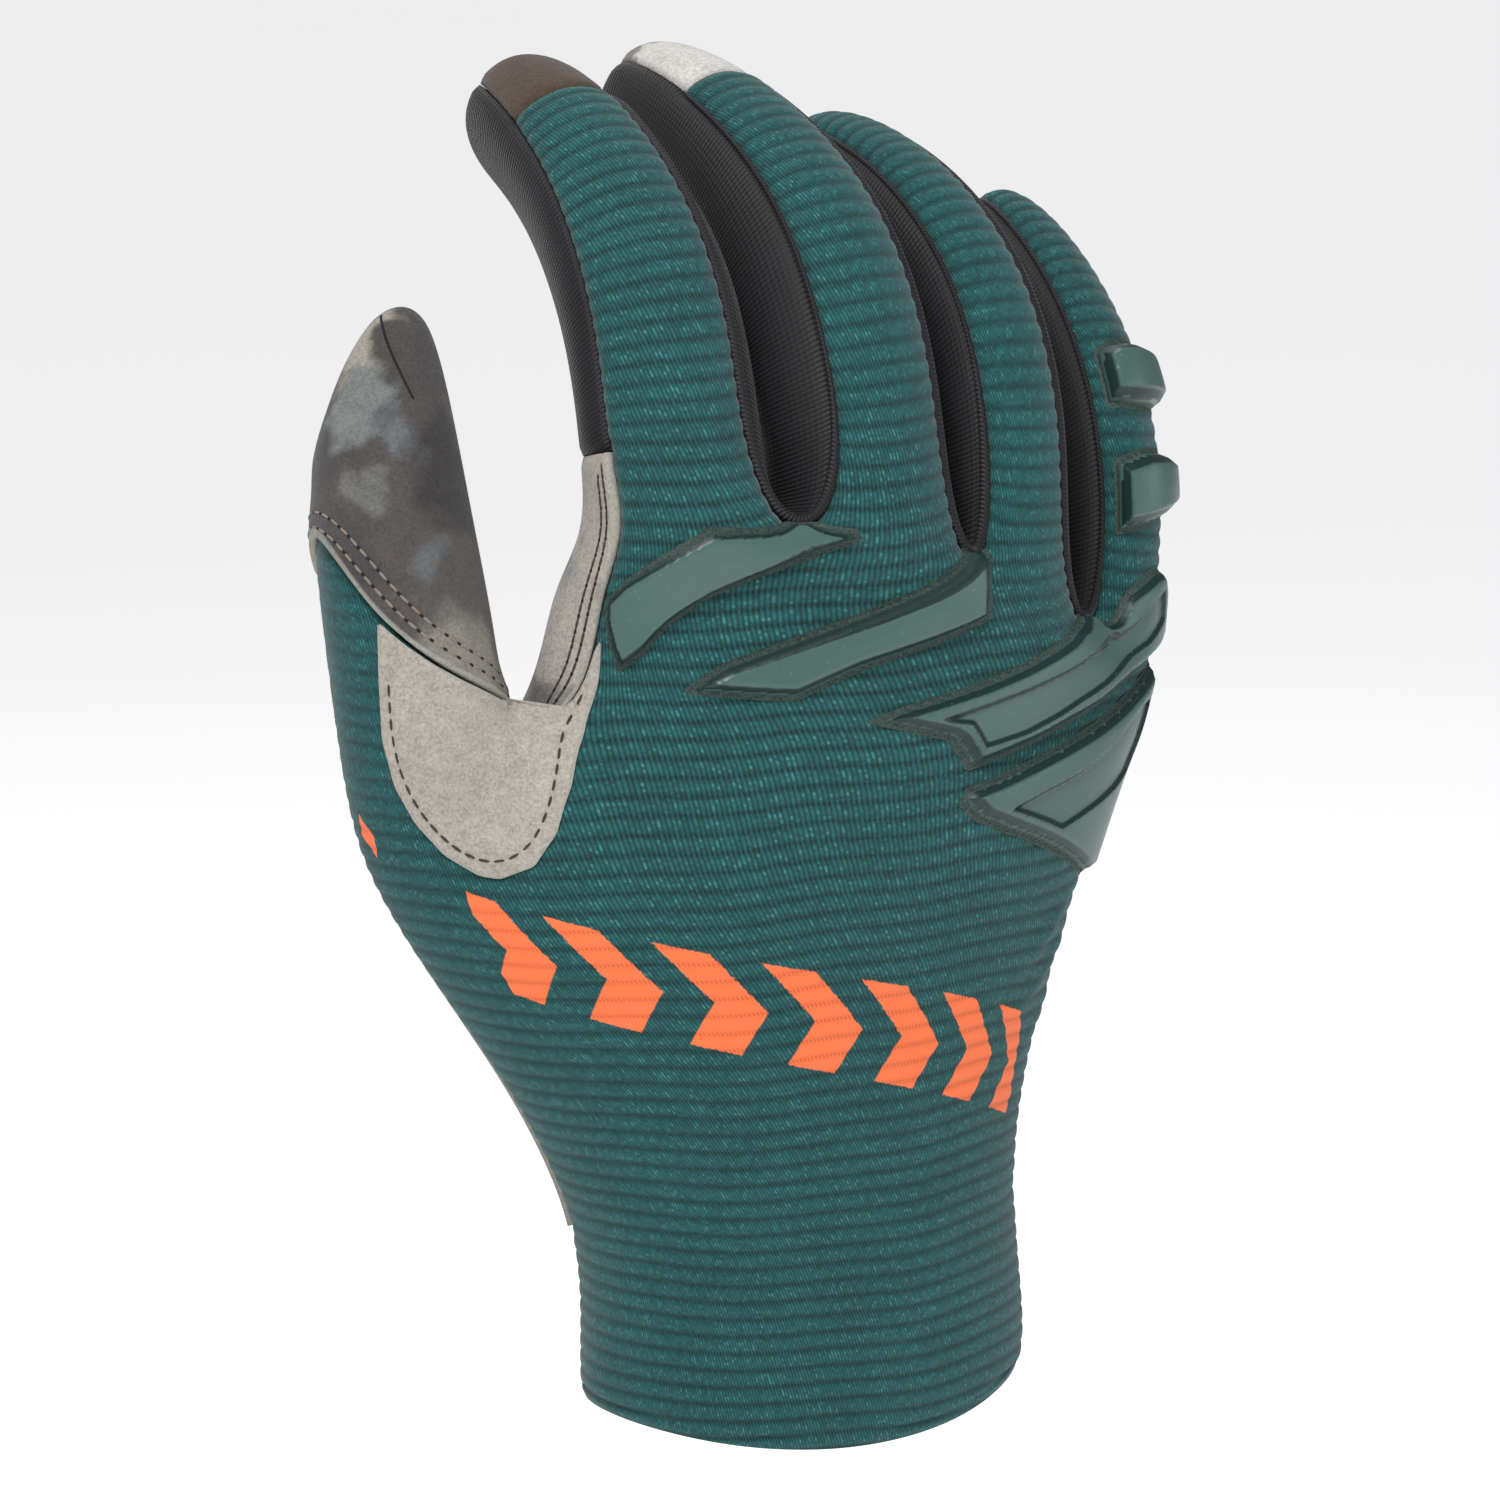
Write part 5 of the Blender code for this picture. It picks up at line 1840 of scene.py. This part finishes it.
@dataclass
class Welt:
    """A rolled seam: a round of knit carried along the edge where gusset meets back."""

    thick: float = 0.95 * MM
    thin: float = 0.42 * MM
    sides: int = 12
    step: float = 0.7 * MM

    def shell(self, name: str, line: Array, normals: Array, inward: Array) -> Shell:
        """Ring points are centre + r (cos of the angle along the side + sin along the normal).

        The radius is thick on the thumbward finger and thin on the other, and closes at both ends.

        Args:
            name: The piece's name.
            line: Points along the seam.
            normals: The cloth's normals there.
            inward: Directions into the gusset there.

        Returns:
            The closed roll.
        """
        both = relaxed(resampled(np.hstack([relaxed(line, 4), normals, inward]), self.step), 3)
        centre, up, side = both[:, :3], unit(both[:, 3:6]), unit(both[:, 6:])
        ahead = unit(np.gradient(centre, axis=0))
        side = unit(side - ahead * np.sum(side * ahead, axis=1, keepdims=True))
        up = unit(np.cross(side, ahead) * np.sign(np.sum(np.cross(side, ahead) * up, axis=1, keepdims=True)))
        share = np.linspace(0, 1, len(centre))
        if centre[0, 0] > centre[-1, 0]:
            share = share[::-1]
        radius = self.thick + (self.thin - self.thick) * smooth((share - 0.52) / 0.14)
        ends = np.minimum(np.arange(len(centre)), np.arange(len(centre))[::-1])
        radius = radius * np.sqrt(np.clip((ends + 0.35) / 5, 0, 1))
        middle = centre + side * (radius * 0.55)[:, None] + up * (radius * 0.15 - 0.25 * MM)[:, None]
        angle = np.arange(self.sides) / self.sides * 2 * np.pi
        spokes = np.cos(angle)[None, :, None] * side[:, None] + np.sin(angle)[None, :, None] * up[:, None]
        points = middle[:, None] + radius[:, None, None] * spokes
        count = len(centre)
        number = np.arange(count * self.sides).reshape(count, self.sides)
        after = np.roll(number, -1, axis=1)
        quads = np.stack([number[:-1], after[:-1], after[1:], number[1:]], axis=-1).reshape(-1, 4)
        first, last = number[0][::-1].tolist(), number[-1].tolist()
        probe = np.cross(points[1, 0] - points[0, 0], points[0, 1] - points[0, 0])
        if np.dot(probe, spokes[0, 0]) < 0:
            polygons = quads.tolist() + [first, last]
        else:
            polygons = quads[:, ::-1].tolist() + [first[::-1], last[::-1]]
        around = np.tile(np.arange(self.sides) / self.sides * 6 * MM, count)
        along = np.repeat(np.arange(count) * self.step, self.sides)
        flat = np.stack([around, along], axis=1)
        uv = flat[np.concatenate([np.array(p) for p in polygons])]
        return Shell(name, points.reshape(-1, 3), polygons, uv)


THIN_PAD = ((0.0, 0.25), (0.75, 0.30), (0.85, 1.0), (1.5, 1.9), (1.9, 2.1))
BROAD_PAD = ((0.0, 0.25), (0.95, 0.30), (1.05, 1.15), (2.0, 2.15), (2.4, 2.3))
UPPER_WING = ((0.0, 0.25), (0.85, 0.30), (0.95, 1.05), (2.1, 2.2), (2.4, 2.3))
LOWER_WING = ((0.0, 0.25), (0.85, 0.30), (0.95, 1.05), (2.3, 2.2), (2.6, 2.3))
TALL_BLOCK = ((0.0, 0.25), (0.95, 0.30), (1.05, 1.5), (2.6, 3.3), (3.0, 3.4))


class Guard(Enum):
    """The moulded guards, each named for its CAD node, in millimetres on the pattern."""

    INDEX = LaidPiece("knuckle_pad_index", (
        (-48.2, 134.2), (-45.2, 137.6), (-41.0, 140.6), (-37.2, 143.2), (-34.0, 145.2), (-30.0, 144.6),
        (-25.8, 143.6), (-18.6, 143.0), (-17.2, 141.4), (-21.8, 139.0), (-27.2, 136.4), (-30.3, 134.7),
        (-32.8, 132.5), (-35.6, 130.0), (-38.4, 126.2), (-42.6, 122.8), (-45.3, 126.5), (-47.4, 130.6),
    ), THIN_PAD, (0.8, 1.5), (
        Bevel((
            (-17.0, 142.6), (-21.5, 141.0), (-26.0, 139.0), (-30.2, 137.0), (-33.4, 134.4),
            (-36.4, 131.4), (-39.6, 127.6), (-43.6, 124.4),
        ), 1.1, 1.6),
    ), crown=0.35)
    MIDDLE = LaidPiece("knuckle_pad_middle", (
        (-33.0, 120.2), (-27.8, 124.0), (-23.1, 125.9), (-18.7, 127.7), (-14.6, 129.5), (-10.6, 131.3),
        (-6.7, 133.3), (-3.2, 135.2), (0.8, 137.4), (3.2, 135.5), (4.0, 127.0), (1.2, 125.6),
        (-2.4, 124.2), (-6.9, 122.7), (-11.4, 121.2), (-14.7, 119.6), (-18.7, 117.6), (-22.8, 118.2),
        (-31.5, 119.6),
    ), BROAD_PAD, (1.0, 2.0), (
        Bevel((
            (-31.5, 120.0), (-26.5, 122.2), (-20.5, 124.4), (-14.4, 126.8), (-9.5, 128.8), (-4.6, 131.1),
            (0.6, 133.6), (4.6, 134.4),
        ), 1.5, 2.6),
    ), crown=0.4)
    UPPER = LaidPiece("ulnar_guard_upper", (
        (-11.0, 113.6), (-6.6, 115.3), (-1.9, 116.4), (3.1, 117.6), (8.5, 119.3), (14.3, 121.6),
        (19.7, 123.4), (23.5, 123.0), (28.0, 121.8), (29.4, 125.6), (31.5, 127.0), (36.5, 129.3),
        (41.0, 129.8), (44.0, 126.0), (45.5, 118.0), (42.0, 115.6), (35.2, 113.2), (28.2, 111.6),
        (22.9, 109.9), (16.6, 108.2), (11.9, 106.6), (7.7, 105.4), (3.3, 104.2), (-0.4, 109.3),
        (-6.5, 111.8),
    ), UPPER_WING, (0.9, 2.1), recess=(
        (-1.8, 112.6), (1.8, 111.6), (4.2, 107.9), (9.4, 108.9), (14.4, 110.7), (18.6, 112.4),
        (23.2, 113.8), (29.5, 115.8), (36.0, 118.2), (40.6, 121.4), (39.4, 125.8), (35.6, 124.2),
        (32.6, 121.6), (29.2, 119.4), (26.0, 118.9), (20.0, 118.6), (14.6, 117.0), (9.0, 115.3),
        (3.2, 113.8),
    ), crown=0.15)
    LOWER = LaidPiece("ulnar_guard_lower", (
        (4.2, 101.8), (8.4, 102.9), (14.1, 104.9), (19.2, 106.5), (26.1, 108.4), (34.0, 110.8),
        (41.0, 112.8), (46.5, 114.6), (49.0, 109.0), (48.8, 102.0), (49.2, 95.0), (49.2, 88.0),
        (48.0, 82.4), (40.0, 84.2), (30.3, 87.6), (15.1, 93.2), (7.6, 96.4), (4.0, 99.4),
    ), LOWER_WING, (0.9, 2.3), recess=(
        (12.4, 97.6), (16.8, 96.0), (24.4, 93.2), (31.0, 95.2), (38.0, 97.2), (43.4, 99.4),
        (45.6, 104.4), (45.8, 109.2), (40.5, 108.6), (35.6, 107.2), (32.0, 105.4), (28.4, 103.4),
        (22.6, 101.0), (16.6, 99.3),
    ), crown=0.15)
    DISTAL = LaidPiece("little_block_distal", (
        (27.0, 151.9), (34.0, 151.4), (45.5, 151.8), (47.0, 156.5), (45.5, 161.8), (38.0, 161.8),
        (31.0, 161.4), (27.2, 160.2),
    ), TALL_BLOCK, (1.0, 2.6), crown=0.2, cell=0.36)
    PROXIMAL = LaidPiece("little_block_proximal", (
        (26.6, 134.2), (31.0, 134.9), (38.0, 136.0), (45.6, 137.2), (47.0, 141.5), (45.6, 146.6),
        (40.0, 146.6), (33.5, 146.4), (26.8, 144.9),
    ), TALL_BLOCK, (1.0, 2.6), crown=0.2, cell=0.36)


class Glove:
    """The whole glove: panels, guards, patch, welts and stitches, built in order."""

    def __init__(self) -> None:
        """Builds the skin, the pattern maps and the finishes."""
        self.sizes = GloveSizes()
        cage = Cage(self.sizes)
        cage.build()
        self.skin = Skin.from_cage(cage, SKIN_LEVEL)
        self.back_map = PatternMap(self.skin, Panel.BACK)
        self.knit = KnitFinish().material()
        self.gusset = GussetFinish().material()
        self.rubber = RubberFinish().material()
        self.patch_suede = SuedeFinish("warm_grey_suede", (172, 165, 156), (178, 171, 162)).material()
        self.palm_suede = SuedeFinish("palm_cloud_suede", (132, 128, 122), (96, 94, 94), (
            Spot((-34, 0, 146), 10.0, (172, 165, 156)), Spot((-41, 2, 130), 10.0, (168, 162, 154)),
            Spot((-38, 6, 139), 4.0, (116, 124, 128)), Spot((-30, 34, 212), 27.0, (80, 66, 57), 2.0),
            Spot((-2, 34, 216), 17.0, (208, 205, 200), 2.0),
        )).material()
        self.thumb_suede = SuedeFinish("thumb_cloud_suede", (84, 79, 77), (72, 69, 69), (
            Spot((-66, 27, 173), 9.0, (158, 152, 142)), Spot((-56, 23, 169), 7.0, (74, 71, 70)),
            Spot((-67, 21, 163), 5.0, (120, 123, 122)), Spot((-61, 17, 159), 4.5, (102, 106, 108)),
            Spot((-53, 14, 152), 9.0, (58, 55, 56), 5.0), Spot((-60, 8, 141), 3.0, (96, 100, 102)),
            Spot((-57, 3, 126), 8.0, (134, 129, 122), 6.0), Spot((-70, 15, 152), 3.0, (110, 110, 108)),
        )).material()
        self.thread = ThreadFinish("grey_brown_thread", (150, 136, 124)).material()
        self.dark_thread = ThreadFinish("dark_thread", (74, 60, 56)).material()
        self.hole_shade = ThreadFinish("needle_hole_shade", (38, 34, 33)).material()

    def build_panels(self) -> None:
        """The seven sewn panels with their seams."""
        groove, tuck = SeamRule(-0.45 * MM, 1.7 * MM), SeamRule(-0.5 * MM, 3.0 * MM)
        raw = SeamRule(1.0 * MM, 9.0 * MM)
        hem = SeamRule(-0.45 * MM, 1.8 * MM)
        to_gussets = {gusset: groove for gusset in GUSSETS}
        self.back = KnitBack(self.skin, Panel.BACK, {
            **to_gussets, Panel.CAP: groove, Panel.THUMB: tuck, Panel.PALM: tuck, Panel.OUTSIDE: hem,
        }, 1.2 * MM)
        self.palm = ClothPanel(self.skin, Panel.PALM, {
            **to_gussets, Panel.BACK: SeamRule(0.7 * MM, 6.0 * MM), Panel.THUMB: groove, Panel.CAP: groove,
        }, 1.2 * MM)
        self.thumb = ClothPanel(self.skin, Panel.THUMB, {Panel.BACK: raw, Panel.PALM: groove}, 1.2 * MM)
        self.back.shell("back_knit").piece([self.knit], "rib_knit", "back_panel")
        self.palm.shell("palm_suede").piece([self.palm_suede], "palm_suede", "palm_panel")
        self.thumb.shell("thumb_suede").piece([self.thumb_suede], "palm_suede", "thumb_sleeve")
        self.gussets = {}
        for gusset in GUSSETS:
            rules = {Panel.BACK: groove, Panel.PALM: groove, Panel.CAP: groove}
            self.gussets[gusset] = ClothPanel(self.skin, gusset, rules, 1.0 * MM)
            node = gusset.name.lower()
            self.gussets[gusset].shell(node + "_knit").piece([self.gusset], "gusset_knit", node)

    def build_guards(self) -> None:
        """The moulded guards on the back and the little finger."""
        for guard in Guard:
            guard.value.shell(self.back_map).piece([self.rubber], "guard_rubber", guard.value.name)

    def build_patch(self) -> None:
        """The U-shaped suede patch in the thumb's crotch, with one row of stitches round it."""
        outline = (
            (-73.6, 131.6), (-74.6, 123.0), (-75.2, 114.1), (-73.6, 107.3), (-70.0, 101.8), (-64.6, 96.7),
            (-58.8, 93.6), (-55.5, 93.1), (-49.9, 94.9), (-46.6, 99.6), (-44.9, 106.9), (-44.6, 114.3),
            (-45.8, 121.0), (-47.6, 128.0), (-48.5, 126.0), (-48.7, 119.2), (-50.5, 118.5), (-55.1, 120.5),
            (-59.7, 122.7), (-64.3, 125.2), (-68.9, 128.2),
        )
        knots = ((0.0, 0.55), (0.3, 0.78), (1.4, 0.85), (1.9, 0.66), (2.4, 0.85))
        patch = LaidPiece("crotch_patch", outline, knots, (1.9,), cell=0.5)
        patch.shell(self.back_map).piece([self.patch_suede], "patch_suede", "thumb_crotch_patch")
        seam = np.array(outline[:14])
        before, after = seam[:-2] - seam[1:-1], seam[2:] - seam[1:-1]
        inner = unit(unit(before) + unit(after)) * 1.9
        turn = np.sign(before[:, 0] * after[:, 1] - before[:, 1] * after[:, 0])
        line = resampled(relaxed(resampled(seam[1:-1] + inner * np.abs(turn)[:, None], 0.8), 30), 2.5)
        points, normals = self.back_map.find(line * MM)
        rows = [(points + normals * 0.80 * MM, normals)]
        Stitches(length=1.7 * MM).shell("patch_stitches", rows).piece([self.dark_thread], "patch_suede")

    def build_stitches(self) -> None:
        """Twin rows along the raw edges of the thumb's sleeve and of the tab at the index finger."""
        for panel, name, offsets, low, most_x, thread in (
            (self.thumb, "thumb", (2.0, 4.2), -1.0, 1.0, self.thread),
            (self.palm, "tab", (1.7, 3.3), 0.112, 0.0, self.dark_thread),
        ):
            run = panel.chain((Panel.BACK,), low, most_x)
            line = relaxed(panel.points[run], 6)
            side = unit(relaxed(panel.inward[run], 10))
            rows, holes = [], []
            for offset in offsets:
                found, normals = panel.laid(resampled(line + side * offset * MM, Stitches.pitch / 2))
                found += normals * 0.05 * MM
                rows.append((found[::2], normals[::2]))
                holes.append((found[1::2], normals[1::2]))
            Stitches().shell(name + "_stitches", rows).piece([thread], "patch_suede")
            # dark capsules between the stitches: painted shade in the needle holes
            Stitches(length=0.8 * MM, width=0.26 * MM, height=0.10 * MM).shell(
                name + "_needle_holes", holes).piece([self.hole_shade], "patch_suede")

    def build_dart(self) -> None:
        """The seam that closes the dart at the thumb's tip."""
        # real stitches along the dart, dark with the needle-hole material: painted shade in the seam
        found, normals = self.thumb.laid(resampled(np.array(ClothPanel.DART) * MM, 0.9 * MM))
        found = relaxed(found, 2) + normals * 0.05 * MM
        stitches = Stitches(length=0.95 * MM, width=0.22 * MM, height=0.16 * MM)
        stitches.shell("thumb_dart", [(found, normals)]).piece([self.hole_shade], "patch_suede")

    def build_welts(self) -> None:
        """Rolled seams round the three finger crotches."""
        for gusset in GUSSETS[1:]:
            panel = self.gussets[gusset]
            run = panel.chain((Panel.BACK,))
            shell = Welt().shell(
                gusset.name.lower() + "_welt", panel.points[run], panel.normals[run], panel.inward[run],
            )
            shell.piece([self.gusset], "gusset_knit")


class Lamp(NamedTuple):
    """A square area lamp: its place and size in metres, and its power in watts."""

    name: str
    place: tuple[float, float, float]
    size: float
    power: float


@dataclass(frozen=True)
class Studio:
    """Floor, soft lights and the camera at the photograph's angle; sizes in metres."""

    azimuth: float = np.radians(-28.0)
    elevation: float = np.radians(12.0)
    distance: float = 1.1
    aim_right: float = -0.008
    aim_up: float = 0.104
    lens_mm: float = 165.0
    sensor_mm: float = 36.0
    floor_radius: float = 6.0
    floor_height: float = -0.30
    floor_glow: float = 0.66
    sky_light: float = 0.20
    lamps: tuple[Lamp, ...] = (
        Lamp("key", (-0.38, -0.42, 0.88), 0.5, 8.6), Lamp("fill", (1.25, -0.85, 0.45), 0.8, 3.2),
        Lamp("rim", (0.3, 1.2, 1.1), 1.0, 8.0),
    )

    def build(self) -> None:
        """Builds camera, floor, lamps and a sky that lights softly and is seen as white."""
        self.camera()
        self.floor()
        for lamp in self.lamps:
            self.light(lamp)
        bpy.context.scene.view_settings.view_transform = "Standard"
        world = bpy.data.worlds.new("studio")
        world.use_nodes = True
        nodes, links = world.node_tree.nodes, world.node_tree.links
        soft = nodes["Background"]
        soft.inputs[0].default_value = (0.95, 0.97, 1.0, 1.0)
        soft.inputs[1].default_value = self.sky_light
        white = nodes.new("ShaderNodeBackground")
        white.inputs[0].default_value = (1.0, 1.0, 1.0, 1.0)
        seen, choice = nodes.new("ShaderNodeLightPath"), nodes.new("ShaderNodeMixShader")
        links.new(seen.outputs["Is Camera Ray"], choice.inputs[0])
        links.new(soft.outputs[0], choice.inputs[1])
        links.new(white.outputs[0], choice.inputs[2])
        links.new(choice.outputs[0], nodes["World Output"].inputs[0])
        bpy.context.scene.world = world

    def camera(self) -> None:
        """A long lens 1.1 m from the glove; a frame 240 mm wide."""
        sine, cosine = np.sin(self.elevation), np.cos(self.elevation)
        away = np.array([np.sin(self.azimuth) * cosine, -np.cos(self.azimuth) * cosine, sine])
        right = np.array([np.cos(self.azimuth), np.sin(self.azimuth), 0.0])
        up = np.cross(right, -away)
        target = right * self.aim_right + up * self.aim_up
        data = bpy.data.cameras.new("camera")
        data.lens, data.sensor_width = self.lens_mm, self.sensor_mm
        found = linked("camera", data)
        found.location = Vector(target + away * self.distance)
        found.rotation_euler = Vector(away).to_track_quat("Z", "Y").to_euler()
        bpy.context.scene.camera = found

    def floor(self) -> None:
        """A wide pale disc well below the held-up glove, so that no shadow falls in the frame."""
        turn = np.linspace(0, 2 * np.pi, 65)[:-1]
        radius = self.floor_radius
        rim = np.stack([radius * np.cos(turn), radius * np.sin(turn), np.full(64, self.floor_height)], axis=1)
        mesh = bpy.data.meshes.new("floor")
        mesh.from_pydata(rim.tolist(), [], [list(range(64))])
        graph = Graph("pale_floor")
        grain = graph.noise(graph.place(), 3.0)
        graph.shader.inputs["Emission Color"].default_value = (1.0, 1.0, 1.0, 1.0)
        pale = graph.tone((252, 252, 252), 0.96 + 0.04 * grain)
        mesh.materials.append(graph.finish(pale, 0.9, Emission_Strength=self.floor_glow))
        linked("floor", mesh)

    def light(self, lamp: Lamp) -> None:
        """An area light at the lamp's place that faces the glove's middle.

        Args:
            lamp: The lamp's row in the table.
        """
        data = bpy.data.lights.new(lamp.name, "AREA")
        data.size, data.energy = lamp.size, lamp.power
        found = linked(lamp.name, data)
        found.location = lamp.place
        found.rotation_euler = (Vector(lamp.place) - Vector((0, 0, 0.1))).to_track_quat("Z", "Y").to_euler()


def main() -> None:
    """Builds the studio, then the glove from its panels outward."""
    logging.basicConfig(level=logging.INFO, format="%(message)s")
    Studio().build()
    glove = Glove()
    glove.build_panels()
    glove.build_guards()
    glove.build_patch()
    glove.build_welts()
    glove.build_stitches()
    glove.build_dart()


if __name__ == "__main__":
    main()
